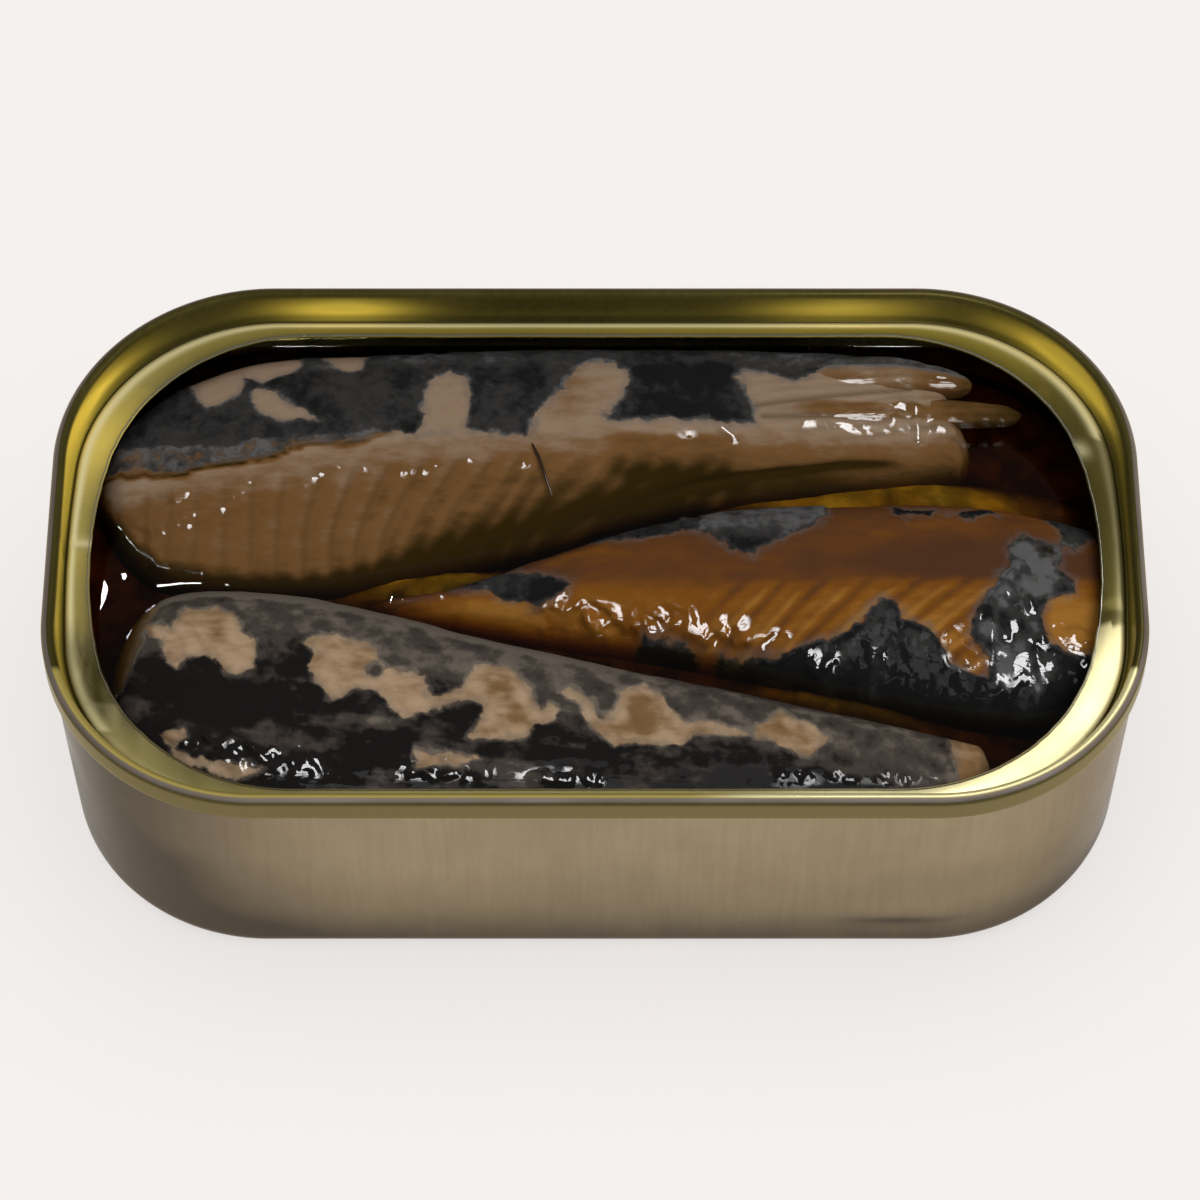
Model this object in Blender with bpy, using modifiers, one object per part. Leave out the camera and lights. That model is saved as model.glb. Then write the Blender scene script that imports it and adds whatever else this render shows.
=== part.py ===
"""An opened quarter-club tin of mackerel pieces in oil.

The drawn body, the ring that the peeled lid leaves behind (double seam, chuck wall and ledge), the oil and
three pieces of mackerel are separate closed solids. X runs along the tin, -Y is its front and Z is up.
The origin is the middle of the underside. Sizes are millimetres until a vertex is made.
"""

import math

import bmesh
import bpy

MM = 0.001

# The tin's driving sizes: the standard 104.5 x 59.8 x 29 mm quarter-club can.
TIN_LENGTH = 104.5
TIN_DEPTH = 59.8
TIN_HEIGHT = 29.0
SEAM_CORNER = 20.7
SHEET = 0.25
GAP = 0.3

# The seam's roll, and the wall that tapers a little from it down to the rounded foot.
SEAM_HEIGHT = 2.95
SEAM_THICKNESS = 1.3
WALL_INSET_TOP = 0.5
WALL_INSET_FOOT = 1.3
WALL_TOP_DROP = 0.9
FOOT_RADIUS = 2.5
BEAD_INSET = 8.0
BEAD_WIDTH = 2.2
BEAD_RISE = 0.45

# The panel that the lid tore from: how far the ledge lies below the seam's top.
LEDGE_DROP = 3.4
GROOVE_DROP = 3.7
CUT_DROP = 3.6

# The contents.
FLOOR_CLEARANCE = 2.0
OIL_LEVEL = 20.0
OIL_FLOOR = 1.0
FISH_WAIST = 0.68
DOME_ROUNDNESS = 2.5
BELLY_ROUNDNESS = 3.0

# Mesh fineness: segments along a corner, along a short side, and along a fish's rounded end.
CORNER_STEPS = 10
SIDE_STEPS = 4
FISH_END_STATIONS = 5


class Outline:
    """A club outline: straight long sides, corner arcs and short sides that are arcs of a larger radius."""

    def __init__(self, length, depth, corner, side=5000.0):
        self.half_length = length / 2
        self.half_depth = depth / 2
        self.corner = corner
        self.side = side

    def points(self, inset, z):
        """The outline moved inward by inset, as points anticlockwise seen from above."""
        side_x = self.half_length - self.side
        corner_y = self.half_depth - self.corner
        corner_x = side_x + math.sqrt((self.side - self.corner) ** 2 - corner_y**2)
        swing = math.atan2(corner_y, corner_x - side_x)
        end = []
        for step in range(-SIDE_STEPS // 2, SIDE_STEPS // 2 + 1):
            angle = 2 * swing * step / SIDE_STEPS
            reach = self.side - inset
            end.append((side_x + reach * math.cos(angle), reach * math.sin(angle)))
        arc = []
        for step in range(1, CORNER_STEPS + 1):
            angle = swing + (math.pi / 2 - swing) * step / CORNER_STEPS
            reach = self.corner - inset
            arc.append((corner_x + reach * math.cos(angle), corner_y + reach * math.sin(angle)))
        right = [(x, -y) for x, y in reversed(arc)] + end + arc
        left = [(-x, -y) for x, y in right]
        return [(x, y, z) for x, y in right + left]


SEAM = Outline(TIN_LENGTH, TIN_DEPTH, SEAM_CORNER)
SHOULDER = Outline(101.1, 55.9, 19.2, side=137.5)
OPENING = Outline(96.96, 52.62, 19.52, side=48.76)


def material(name, colour, roughness, metallic=0.0, transmission=0.0):
    made = bpy.data.materials.new(name)
    made.use_nodes = True
    shader = made.node_tree.nodes["Principled BSDF"]
    shader.inputs["Base Color"].default_value = (*colour, 1.0)
    shader.inputs["Roughness"].default_value = roughness
    shader.inputs["Metallic"].default_value = metallic
    shader.inputs["Transmission Weight"].default_value = transmission
    return made


def loft(name, loops, collection, first_end=None, last_end=None):
    """A mesh object through closed loops of equally many points.

    An end is None (left open), "cap" (one flat face) or a point (a fan of triangles to it).
    """
    mesh_builder = bmesh.new()
    rings = [[mesh_builder.verts.new([MM * value for value in point]) for point in loop] for loop in loops]
    count = len(rings[0])
    for lower, upper in zip(rings, rings[1:]):
        for index in range(count):
            after = (index + 1) % count
            mesh_builder.faces.new((lower[index], lower[after], upper[after], upper[index]))
    for ring, end in ((rings[0], first_end), (rings[-1], last_end)):
        if end == "cap":
            mesh_builder.faces.new(ring)
        elif end is not None:
            tip = mesh_builder.verts.new([MM * value for value in end])
            for index in range(count):
                mesh_builder.faces.new((ring[index], ring[(index + 1) % count], tip))
    bmesh.ops.recalc_face_normals(mesh_builder, faces=mesh_builder.faces)
    mesh = bpy.data.meshes.new(name)
    mesh_builder.to_mesh(mesh)
    mesh_builder.free()
    mesh.shade_smooth()
    mesh.set_sharp_from_angle(angle=math.radians(50))
    made = bpy.data.objects.new(name, mesh)
    collection.objects.link(made)
    return made


def thicken(sheet, towards_normal):
    solidify = sheet.modifiers.new("Sheet", "SOLIDIFY")
    solidify.thickness = SHEET * MM
    solidify.offset = 1.0 if towards_normal else -1.0
    solidify.use_even_offset = True
    solidify.use_quality_normals = True


def boolean(target, tool, operation):
    modifier = target.modifiers.new(f"{operation.title()} {tool.name}", "BOOLEAN")
    modifier.operation = operation
    modifier.object = tool
    modifier.solver = "EXACT"


def wall_inset(z):
    """How far the body's outer wall lies inside the seam's outline at a height."""
    rise = (z - FOOT_RADIUS) / (TIN_HEIGHT - WALL_TOP_DROP - FOOT_RADIUS)
    return WALL_INSET_FOOT + (WALL_INSET_TOP - WALL_INSET_FOOT) * rise


def build_tin_body(collection):
    """The drawn cup. Its top edge is tucked up inside the seam's roll."""
    top = TIN_HEIGHT - WALL_TOP_DROP
    loops = [SEAM.points(wall_inset(z), z) for z in (top, (top + FOOT_RADIUS) / 2)]
    for step in range(5):
        angle = math.radians(22.5 * step)
        inset = WALL_INSET_FOOT + FOOT_RADIUS * (1 - math.cos(angle))
        loops.append(SEAM.points(inset, FOOT_RADIUS * (1 - math.sin(angle))))
    for across, height in ((0.0, 0.0), (0.25, 1.0), (0.75, 1.0), (1.0, 0.0)):
        loops.append(SEAM.points(BEAD_INSET + across * BEAD_WIDTH, height * BEAD_RISE))
    body = loft("tin_body", loops, collection, last_end="cap")
    thicken(body, towards_normal=False)
    body.data.materials.append(material("drawn_tinplate", (0.42, 0.36, 0.27), 0.42, metallic=1.0))
    return body


def build_end_ring(collection):
    """What stays of the lid: the roll over the body's edge, the chuck wall, a groove and the torn ledge."""
    crown = SEAM_THICKNESS / 2
    loops = [SEAM.points(0.05, TIN_HEIGHT - SEAM_HEIGHT), SEAM.points(0.0, TIN_HEIGHT - SEAM_HEIGHT + 0.3)]
    for step in range(7):
        angle = math.pi * step / 6
        loops.append(SEAM.points(crown * (1 - math.cos(angle)), TIN_HEIGHT - crown * (1 - math.sin(angle))))
    groove_width = 0.4
    loops.append(SHOULDER.points(-groove_width, TIN_HEIGHT - LEDGE_DROP + 0.3))
    loops.append(SHOULDER.points(-0.75 * groove_width, TIN_HEIGHT - GROOVE_DROP + 0.1))
    loops.append(SHOULDER.points(-0.4 * groove_width, TIN_HEIGHT - GROOVE_DROP))
    loops.append(SHOULDER.points(0.0, TIN_HEIGHT - LEDGE_DROP - 0.08))
    loops.append(SHOULDER.points(0.3, TIN_HEIGHT - LEDGE_DROP))
    loops.append(OPENING.points(0.0, TIN_HEIGHT - CUT_DROP))
    ring = loft("end_ring", loops, collection)
    thicken(ring, towards_normal=faces_down(ring))
    ring.data.materials.append(material("gold_lacquer", (0.55, 0.42, 0.14), 0.3, metallic=1.0))
    return ring


def faces_down(ring):
    """True if the open ring's ledge, its last strip of faces, has normals that point down."""
    return ring.data.polygons[len(ring.data.polygons) - 1].normal.z < 0


def smooth_line(points, x):
    """The height at x of a smooth curve through (x, value) points: cubic pieces with matching slopes."""
    if x <= points[0][0]:
        return points[0][1]
    if x >= points[-1][0]:
        return points[-1][1]
    last = len(points) - 1
    slopes = []
    for index in range(last + 1):
        before = points[max(index - 1, 0)]
        after = points[min(index + 1, last)]
        slopes.append((after[1] - before[1]) / (after[0] - before[0]))
    index = next(i for i in range(last) if x <= points[i + 1][0])
    (x0, y0), (x1, y1) = points[index], points[index + 1]
    span = x1 - x0
    t = (x - x0) / span
    start = (1 + 2 * t) * (1 - t) ** 2 * y0 + t * (1 - t) ** 2 * span * slopes[index]
    end = t * t * (3 - 2 * t) * y1 - t * t * (1 - t) * span * slopes[index + 1]
    return start + end


def power(value, exponent):
    return math.copysign(abs(value) ** exponent, value)


class Fish:
    """A piece of mackerel that lies along X.

    back and front are its widest outline seen from above and top its crest, each a short list of (x, value).
    lean moves the crest towards the back. end_lengths are the stretches that round off at the left and right.
    sides and stretches are the mesh's fineness round the piece and along its middle.
    """

    def __init__(self, back, front, top, lean, end_lengths, bottom=FLOOR_CLEARANCE, sides=24, stretches=18):
        self.back = back
        self.front = front
        self.top = top
        self.lean = lean
        self.end_lengths = end_lengths
        self.bottom = bottom
        self.sides = sides
        self.stretches = stretches
        self.left = back[0][0]
        self.right = back[-1][0]

    def stations(self):
        """(x, size) of each ring: size falls from 1 to 0 as an ellipse does towards either end."""
        left_end, right_end = self.end_lengths
        made = []
        for step in range(1, FISH_END_STATIONS + 1):
            angle = math.pi / 2 * step / FISH_END_STATIONS
            made.append((self.left + left_end * (1 - math.cos(angle)), math.sin(angle)))
        start = self.left + left_end
        stop = self.right - right_end
        for step in range(1, self.stretches):
            made.append((start + (stop - start) * step / self.stretches, 1.0))
        for step in range(FISH_END_STATIONS, 0, -1):
            angle = math.pi / 2 * step / FISH_END_STATIONS
            made.append((self.right - right_end * (1 - math.cos(angle)), math.sin(angle)))
        return made

    def middle(self, x):
        """The middle of the section at x: its y, its half width, its waist's height and its crest's."""
        back = smooth_line(self.back, x)
        front = smooth_line(self.front, x)
        top = smooth_line(self.top, x)
        return (back + front) / 2, (back - front) / 2, self.bottom + FISH_WAIST * (top - self.bottom), top

    def section(self, x, size):
        """A dome above the waist that leans back, and a deeper, squarer belly below it."""
        middle, half_width, waist, top = self.middle(x)
        ring = []
        for step in range(self.sides):
            angle = 2 * math.pi * step / self.sides
            across, up = math.cos(angle), math.sin(angle)
            above = up > 0
            exponent = 2 / (DOME_ROUNDNESS if above else BELLY_ROUNDNESS)
            height = (top - waist) if above else (waist - self.bottom)
            lean = self.lean * half_width * up * up if above else 0.0
            y = middle + size * (half_width * power(across, exponent) + lean)
            ring.append((x, y, waist + size * height * power(up, exponent)))
        return ring

    def build(self, name, collection):
        loops = [self.section(x, size) for x, size in self.stations()]
        tips = []
        for x in (self.left, self.right):
            middle, _, waist, _ = self.middle(x)
            tips.append((x, middle, waist))
        return loft(name, loops, collection, first_end=tips[0], last_end=tips[1])


FISH_BACK = Fish(
    back=[(-49.5, 13.5), (-44, 21.5), (-36, 26), (-26, 27.6), (24, 27.4), (32, 25), (37, 20)],
    front=[(-49.5, 4), (-42, 1), (-33, 0), (-24, 0.3), (-9, 3.9), (8, 9.5), (25, 12), (37, 13)],
    top=[(-49.5, 21.5), (-42, 23.2), (-25, 24.2), (20, 24.2), (37, 22.6)],
    lean=0.22,
    end_lengths=(6.0, 3.0),
)
FISH_MIDDLE = Fish(
    back=[(-23, -0.6), (-14, 0.2), (-3, 4.4), (9, 8), (23, 9.3), (38, 9.5), (50.3, 6.5)],
    front=[(-23, -2), (-14, -3.2), (-3, -5.4), (9, -7.4), (20, -10.7), (30, -13.3), (42, -15), (50.3, -13)],
    top=[(-23, 18.6), (-14, 20.6), (0, 23), (15, 24.2), (40, 24.2), (50.3, 23)],
    lean=0.1,
    end_lengths=(4.0, 2.5),
)
FISH_FRONT = Fish(
    back=[(-46.5, -5), (-41, -0.9), (-32, -0.6), (-24, -2.1), (-9, -6.4), (10, -11.4), (37.5, -18.2)],
    front=[(-46.5, -17), (-41, -22.6), (-34, -26.6), (-26, -27.6), (28, -27.6), (37.5, -25)],
    top=[(-46.5, 22.2), (-38, 24), (-20, 24.3), (20, 23.8), (37.5, 22)],
    lean=0.12,
    end_lengths=(3.5, 1.6),
)

# The flakes that stand out at the back piece's torn right end.
FLAKES = {
    "upper_flake": Fish(
        back=[(22.0, 25.0), (30.0, 25.2), (37.2, 23.4)],
        front=[(22.0, 21.0), (30.0, 21.4), (37.2, 21.6)],
        top=[(22.0, 23.6), (30.0, 24.0), (37.2, 23.2)],
        lean=0.0,
        end_lengths=(2.0, 2.0),
        bottom=20.8,
        sides=10,
        stretches=4,
    ),
    "middle_flake": Fish(
        back=[(26.0, 20.8), (34.0, 20.8), (42.0, 20.2)],
        front=[(26.0, 17.4), (34.0, 17.8), (42.0, 18.4)],
        top=[(26.0, 23.2), (34.0, 23.0), (42.0, 22.2)],
        lean=0.0,
        end_lengths=(2.0, 2.0),
        bottom=20.5,
        sides=10,
        stretches=4,
    ),
}


def grown_copy(fish, collection):
    """A helper: the fish made larger all round by the gap that the oil leaves."""
    grown = fish.copy()
    grown.data = fish.data.copy()
    grown.name = f"{fish.name}_grown"
    displace = grown.modifiers.new("Gap", "DISPLACE")
    displace.mid_level = 0.0
    displace.strength = GAP * MM
    collection.objects.link(grown)
    return grown


def build_oil(collection, helpers, fish_pieces):
    """Oil up to its level, just clear of the tin's inside, with the fish cut out of it."""
    clear = SHEET + GAP
    foot_inset = WALL_INSET_FOOT + FOOT_RADIUS
    loops = [
        SEAM.points(foot_inset, OIL_FLOOR),
        SEAM.points(WALL_INSET_FOOT + 0.55 * FOOT_RADIUS, OIL_FLOOR + 0.5),
        SEAM.points(WALL_INSET_FOOT + clear + 0.1, FOOT_RADIUS + 0.6),
        SEAM.points(wall_inset(OIL_LEVEL) + clear, OIL_LEVEL),
    ]
    oil = loft("oil", loops, collection, first_end="cap", last_end="cap")
    for fish in fish_pieces:
        boolean(oil, grown_copy(fish, helpers), "DIFFERENCE")
    oil.data.materials.append(material("oil", (0.62, 0.36, 0.05), 0.05, transmission=0.9))
    return oil


def new_collection(name):
    made = bpy.data.collections.new(name)
    bpy.context.scene.collection.children.link(made)
    return made


def build_fish(collection, helpers):
    pieces = {"fillet_back": FISH_BACK, "fillet_middle": FISH_MIDDLE, "fillet_front": FISH_FRONT}
    colours = {
        "fillet_back": (0.30, 0.17, 0.08),
        "fillet_middle": (0.36, 0.17, 0.06),
        "fillet_front": (0.07, 0.06, 0.06),
    }
    made = []
    for name, shape in pieces.items():
        fish = shape.build(name, collection)
        fish.data.materials.append(material(name, colours[name], 0.28))
        made.append(fish)
    for name, shape in FLAKES.items():
        boolean(made[0], shape.build(name, helpers), "UNION")
    return made


def main():
    for old in list(bpy.data.objects):
        bpy.data.objects.remove(old, do_unlink=True)
    tin = new_collection("Tin of mackerel")
    helpers = new_collection("Helpers")
    build_tin_body(tin)
    build_end_ring(tin)
    build_oil(tin, helpers, build_fish(tin, helpers))
    for helper in helpers.objects:
        helper.hide_render = True
        helper.display_type = "WIRE"


main()
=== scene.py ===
# %% [markdown]
# # An opened tin of mackerel
#
# The tin is a drawn cup of tinplate whose lid has been peeled off. What stays of the lid is a rolled seam
# with a narrow ledge inside it. Three pieces of mackerel lie in amber oil. The solids of the part say where
# everything is and how large. This notebook dresses them: every piece below is a surface worked out with
# numpy, with a material built from shader nodes. The first cell loads the solids, and `part_box` reads the
# box of any one of them.

# %% Load the frame
import math

import bpy
import numpy as np
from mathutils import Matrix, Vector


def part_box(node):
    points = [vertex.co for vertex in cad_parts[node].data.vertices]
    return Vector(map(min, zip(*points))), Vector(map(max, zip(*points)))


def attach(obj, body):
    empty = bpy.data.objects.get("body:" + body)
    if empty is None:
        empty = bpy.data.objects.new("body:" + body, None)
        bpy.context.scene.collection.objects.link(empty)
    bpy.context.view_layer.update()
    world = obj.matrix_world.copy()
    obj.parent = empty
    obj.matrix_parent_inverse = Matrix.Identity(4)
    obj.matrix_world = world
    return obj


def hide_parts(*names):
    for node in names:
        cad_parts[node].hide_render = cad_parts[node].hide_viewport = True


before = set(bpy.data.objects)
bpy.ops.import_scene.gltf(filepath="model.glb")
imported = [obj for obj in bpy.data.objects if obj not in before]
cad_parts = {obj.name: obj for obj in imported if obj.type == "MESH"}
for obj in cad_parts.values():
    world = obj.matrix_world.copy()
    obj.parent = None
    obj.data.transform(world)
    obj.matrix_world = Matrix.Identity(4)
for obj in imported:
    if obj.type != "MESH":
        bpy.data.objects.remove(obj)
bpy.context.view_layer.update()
BODY = "root"
MM = 0.001
print("solids:", ", ".join(sorted(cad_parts)))

# %% [markdown]
# Sizes come from the solids where they can, so that nothing has to be fitted later. Everything below is
# worked out in millimetres, because that is how a can maker thinks, and becomes metres only when a mesh is
# made.

# %% Sizes of the tin
HALF_LENGTH, HALF_DEPTH, HEIGHT = np.array(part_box("end_ring")[1]) / MM
OIL_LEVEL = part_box("oil")[1].z / MM
SHEET = 0.25
SEAM_HEIGHT = 2.95
SEAM_THICKNESS = 1.3
WALL_INSET_TOP = 0.5
WALL_INSET_FOOT = 1.3
WALL_TOP_DROP = 0.9
FOOT_RADIUS = 2.5
LEDGE_DROP = 3.4
GROOVE_DROP = 3.7
CUT_DROP = 3.6

# An outline is (half length, half depth, corner radius, radius of the short sides).
SEAM = (HALF_LENGTH, HALF_DEPTH, 20.7, 5000.0)
SHOULDER = (50.55, 27.95, 19.2, 137.5)
OPENING = (48.48, 26.31, 19.52, 48.76)
print(f"tin {2 * HALF_LENGTH:.1f} x {2 * HALF_DEPTH:.1f} x {HEIGHT:.1f} mm, oil up to {OIL_LEVEL:.1f} mm")

# %% [markdown]
# A few helpers carry the whole notebook. `surface` turns a grid of points into a mesh: rows of points that
# may close round into a ring, with a fan at either end. `mark` keeps a number at every point of a mesh, and
# the materials read it there. `step`, `fall`, `plateau` and `bell` are the four curves that say where such a
# number is high and where it fades. `noise` gives soft random hills, from a small table of seeded random
# numbers, so that the same bumps come out on every run.

# %% Surfaces, marks and noise
LATTICE = 64


def surface(name, grid, closed=True, first_pole=None, last_pole=None, flip=False):
    """A mesh through grid[row, column] = (x, y, z) in mm: each cell of the grid is one face.

    With closed, the last column joins the first. A pole is a point that closes an end row by a fan.
    """
    rows, columns = grid.shape[:2]
    points = grid.reshape(-1, 3)
    index = np.arange(rows * columns).reshape(rows, columns)
    here, there = (index, np.roll(index, -1, 1)) if closed else (index[:, :-1], index[:, 1:])
    faces = np.stack([here[:-1], there[:-1], there[1:], here[1:]], -1).reshape(-1, 4).tolist()
    for pole, row in ((first_pole, 0), (last_pole, -1)):
        if pole is None:
            continue
        tip = np.full(columns, len(points))
        points = np.vstack([points, pole])
        fan = (tip, there[row], here[row]) if row == 0 else (here[row], there[row], tip)
        faces += np.stack(fan, -1).tolist()
    if flip:
        faces = [face[::-1] for face in faces]
    mesh = bpy.data.meshes.new(name)
    mesh.from_pydata(points * MM, [], faces)
    mesh.shade_smooth()
    made = bpy.data.objects.new(name, mesh)
    bpy.context.scene.collection.objects.link(made)
    return made


def mark(piece, name, values, poles=()):
    """Keeps one number for each point of the piece, which its material reads by this name."""
    values = np.concatenate([np.asarray(values, float).ravel(), np.asarray(poles, float)])
    attribute = piece.data.attributes.new(name, "FLOAT", "POINT")
    attribute.data.foreach_set("value", values.astype(np.float32))


def mark_trunk(piece, **marks):
    """Marks a piece that has a pole at both ends: a pole takes the number at the start of its row."""
    for name, values in marks.items():
        mark(piece, name, values, poles=[values[0, 0], values[-1, 0]])


def step(x, low, high):
    """A smooth rise from 0 at low to 1 at high."""
    t = np.clip((x - low) / (high - low), 0, 1)
    return t * t * (3 - 2 * t)


def fall(x, low, high):
    """A smooth fall from 1 at low to 0 at high."""
    return 1 - step(x, low, high)


def plateau(x, start, full, fade, end):
    """0 up to start, 1 from full to fade, and 0 again from end on."""
    return step(x, start, full) * fall(x, fade, end)


def bell(x, middle, half_width):
    """1 in the middle, 0.37 at half_width to either side: exp of minus the square of the distance."""
    return np.exp(-(((x - middle) / half_width) ** 2))


def noise(x, y, size, seed):
    """Soft hills from -1 to 1, about size mm across: random heights on a lattice, joined by smooth steps."""
    table = np.random.default_rng(seed).uniform(-1, 1, (LATTICE, LATTICE))
    column, row = np.floor(x / size).astype(int), np.floor(y / size).astype(int)
    along, up = (step(t, 0, 1) for t in (x / size - column, y / size - row))
    corner = [table[(column + i) % LATTICE, (row + j) % LATTICE] for i in (0, 1) for j in (0, 1)]
    left = corner[0] * (1 - up) + corner[1] * up
    right = corner[2] * (1 - up) + corner[3] * up
    return left * (1 - along) + right * along


def rough_noise(x, y, size, seed, octaves=4):
    """Hills with smaller hills on them: each octave is half as wide and half as high."""
    return sum(noise(x, y, size / 2**k, seed + 17 * k) / 2**k for k in range(octaves)) / 1.6


hills = noise(*np.meshgrid(np.arange(0, 40, 0.5), np.arange(0, 40, 0.5)), 7.0, 3)
print(f"noise runs from {hills.min():.2f} to {hills.max():.2f}")

# %% [markdown]
# ## The tin
#
# A club can seen from above has straight long sides, corner arcs and short sides that may bulge a little.
# Moving such an outline inward only shortens its radii, so one function gives every level of the tin.

# %% The club outline
SIDE_POINTS, CORNER_POINTS, STRAIGHT_POINTS = 16, 44, 44


def club(shape, inset=0.0):
    """Points of an outline moved inward by inset, anticlockwise from the right end.

    A quarter is an arc of the short side, a corner arc that meets it smoothly, and half a long side.
    The other quarters are its mirror images.
    """
    half_length, half_depth, corner, side = shape
    side_x = half_length - side
    corner_y = half_depth - corner
    corner_x = side_x + math.sqrt((side - corner) ** 2 - corner_y**2)
    swing = math.atan2(corner_y, corner_x - side_x)
    short = np.linspace(0, swing, SIDE_POINTS, endpoint=False)
    bend = np.linspace(swing, np.pi / 2, CORNER_POINTS, endpoint=False)
    run = np.linspace(corner_x, 0, STRAIGHT_POINTS, endpoint=False)
    side, corner = side - inset, corner - inset
    x = np.concatenate([side_x + side * np.cos(short), corner_x + corner * np.cos(bend), run])
    top = half_depth - inset
    y = np.concatenate([side * np.sin(short), corner_y + corner * np.sin(bend), run * 0 + top])
    upper_x = np.concatenate([x, [0.0], -x[:0:-1]])
    upper_y = np.concatenate([y, [top], y[:0:-1]])
    return np.stack([np.concatenate([upper_x, -upper_x]), np.concatenate([upper_y, -upper_y])], -1)


def levels(profile):
    """A grid of outlines, one for each (shape, inset, z) of the profile."""
    outlines = [(club(shape, inset), z) for shape, inset, z in profile]
    return np.array([np.column_stack([points, np.full(len(points), z)]) for points, z in outlines])


print("points round the tin:", len(club(SEAM)))

# %% [markdown]
# The cup is drawn from one flat sheet: a wall that tapers a little, a rounded foot and a flat base with a
# shallow pressed bead that stiffens it. It could be a bevelled box, but the real corner radii would be lost.
# Here it is one profile carried down the outline. Solidify then gives the sheet its thickness, and gives its
# inside a second material, because cans are lacquered gold inside. One mark paints shade and reflection on
# the wall: it makes the wall darker low down, at the left end more than at the right, and in one spot near
# the front foot.

# %% The drawn cup
BEAD_INSET, BEAD_WIDTH, BEAD_RISE = 8.0, 2.2, 0.45
FLAT_INSETS = (12.0, 15.0, 18.0)


def wall_inset(z):
    """How far the wall lies inside the seam's outline: a straight taper from the foot to the seam."""
    rise = (z - FOOT_RADIUS) / (HEIGHT - WALL_TOP_DROP - FOOT_RADIUS)
    return WALL_INSET_FOOT + (WALL_INSET_TOP - WALL_INSET_FOOT) * rise


def foot_profile(count, inward=0.0):
    """The quarter circle that leads from the wall to the base, moved inward by so many mm."""
    radius, inset = FOOT_RADIUS - inward, WALL_INSET_FOOT + inward
    turn = np.linspace(0, np.pi / 2, count)
    return [(SEAM, inset + radius * (1 - math.cos(a)), inward + radius * (1 - math.sin(a))) for a in turn]


def base_profile(raised=0.0):
    """The base: a bead that rises like a power of a sine, then flat sheet."""
    across = np.linspace(0, 1, 17)
    bead = [(BEAD_INSET + BEAD_WIDTH * t, BEAD_RISE * math.sin(math.pi * t) ** 1.5) for t in across]
    return [(SEAM, inset, z + raised) for inset, z in bead + [(inset, 0.0) for inset in FLAT_INSETS]]


def thicken(piece, rim=0):
    """Gives a surface the thickness of the sheet, its second material inside and a chosen one on its rim."""
    sheet = piece.modifiers.new("Sheet", "SOLIDIFY")
    sheet.thickness = SHEET * MM
    sheet.offset = -1.0
    sheet.material_offset = 1
    sheet.material_offset_rim = rim


wall = [(SEAM, wall_inset(z), z) for z in np.linspace(HEIGHT - WALL_TOP_DROP, FOOT_RADIUS, 26)[:-1]]
cup_grid = levels(wall + foot_profile(12) + base_profile())
drawn_unevenly = noise(cup_grid[..., 0] + cup_grid[..., 1], cup_grid[..., 2], 14.0, 3)
cup_grid[:, :, :2] *= 1 + 0.0006 * drawn_unevenly[..., None]
cup = surface("drawn_cup", cup_grid, last_pole=(0, 0, 0), flip=True)
cup_x, cup_y, cup_z = (cup_grid[..., axis] for axis in range(3))
# Painted shade and reflection of the room: the wall is darkened low down, at both ends and in a spot near
# the front foot, with a little random tone on top.
low_down = 0.75 * fall(cup_z, 0.0, 9.5) + 0.25 * fall(cup_z, 9, 20)
left_end = step(-cup_x, 20, 52) * (0.35 + 0.8 * step(-cup_y, -26, 26))
front_foot_dark_spot = 0.5 * bell(cup_x, 29, 5.0) * bell(cup_z, 5.5, 0.8) * (cup_y < 0)
painted_wall_shade = low_down + left_end + 0.2 * step(cup_x, 36, 51) + front_foot_dark_spot
painted_wall_shade += 0.12 * rough_noise(cup_x + cup_y, cup_z, 7.0, 9)
mark(cup, "painted_wall_shade", np.clip(painted_wall_shade, 0, 1), poles=[0.5])
thicken(cup)
print("cup:", len(cup.data.polygons), "faces")

# %% [markdown]
# The ring starts as the seam that hooks over the cup's edge: up the outside, over a small crown and down the
# chuck wall into a groove. From there a narrow ledge runs in to the score line, where the lid tore off and
# left raw steel. A swept curve could follow one path, but here the outer and the inner outline are different
# curves, so rows of points are blended from one outline to the next.

# %% The ring that the lid leaves
CROWN = SEAM_THICKNESS / 2


def blend_rows(start, end, count, sag=0.0):
    """Rows on straight lines from one row of points to another, less a sag: a half wave, so many mm deep."""
    t = np.linspace(0, 1, count)[1:-1, None, None]
    rows = start * (1 - t) + end * t
    rows[..., 2] -= sag * np.sin(np.pi * t[..., 0])
    return rows


def ring_grid():
    """All rows of the ring, the number of rows outside the chuck wall, and the first row of the ledge."""
    seam_foot = HEIGHT - SEAM_HEIGHT
    lip = [(SEAM, 0.14, seam_foot), (SEAM, 0.03, seam_foot + 0.12)]
    lip += [(SEAM, 0.0, z) for z in np.linspace(seam_foot + 0.3, HEIGHT - CROWN, 6)]
    turn = np.linspace(0, np.pi, 18)
    crown = [(SEAM, CROWN * (1 - math.cos(a)), HEIGHT - CROWN * (1 - math.sin(a))) for a in turn]
    outside = levels(lip + crown[1:])
    low, groove_z = np.linspace(0, np.pi, 9), HEIGHT - GROOVE_DROP
    groove = [(SHOULDER, -0.22 - 0.18 * math.cos(a), groove_z + 0.2 * (1 - math.sin(a))) for a in low]
    rise = [(SHOULDER, 0.08, HEIGHT - LEDGE_DROP - 0.03), (SHOULDER, 0.3, HEIGHT - LEDGE_DROP)]
    panel = levels(groove + rise)
    cut = levels([(OPENING, 0.12, HEIGHT - CUT_DROP + 0.05), (OPENING, 0.0, HEIGHT - CUT_DROP)])
    chuck = blend_rows(outside[-1], panel[0], 10)
    ledge = blend_rows(panel[-1], cut[0], 12, sag=-0.04)
    rows = np.concatenate([outside, chuck, panel, ledge, cut])
    return rows, len(outside), len(outside) + len(chuck) + len(panel)


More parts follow.
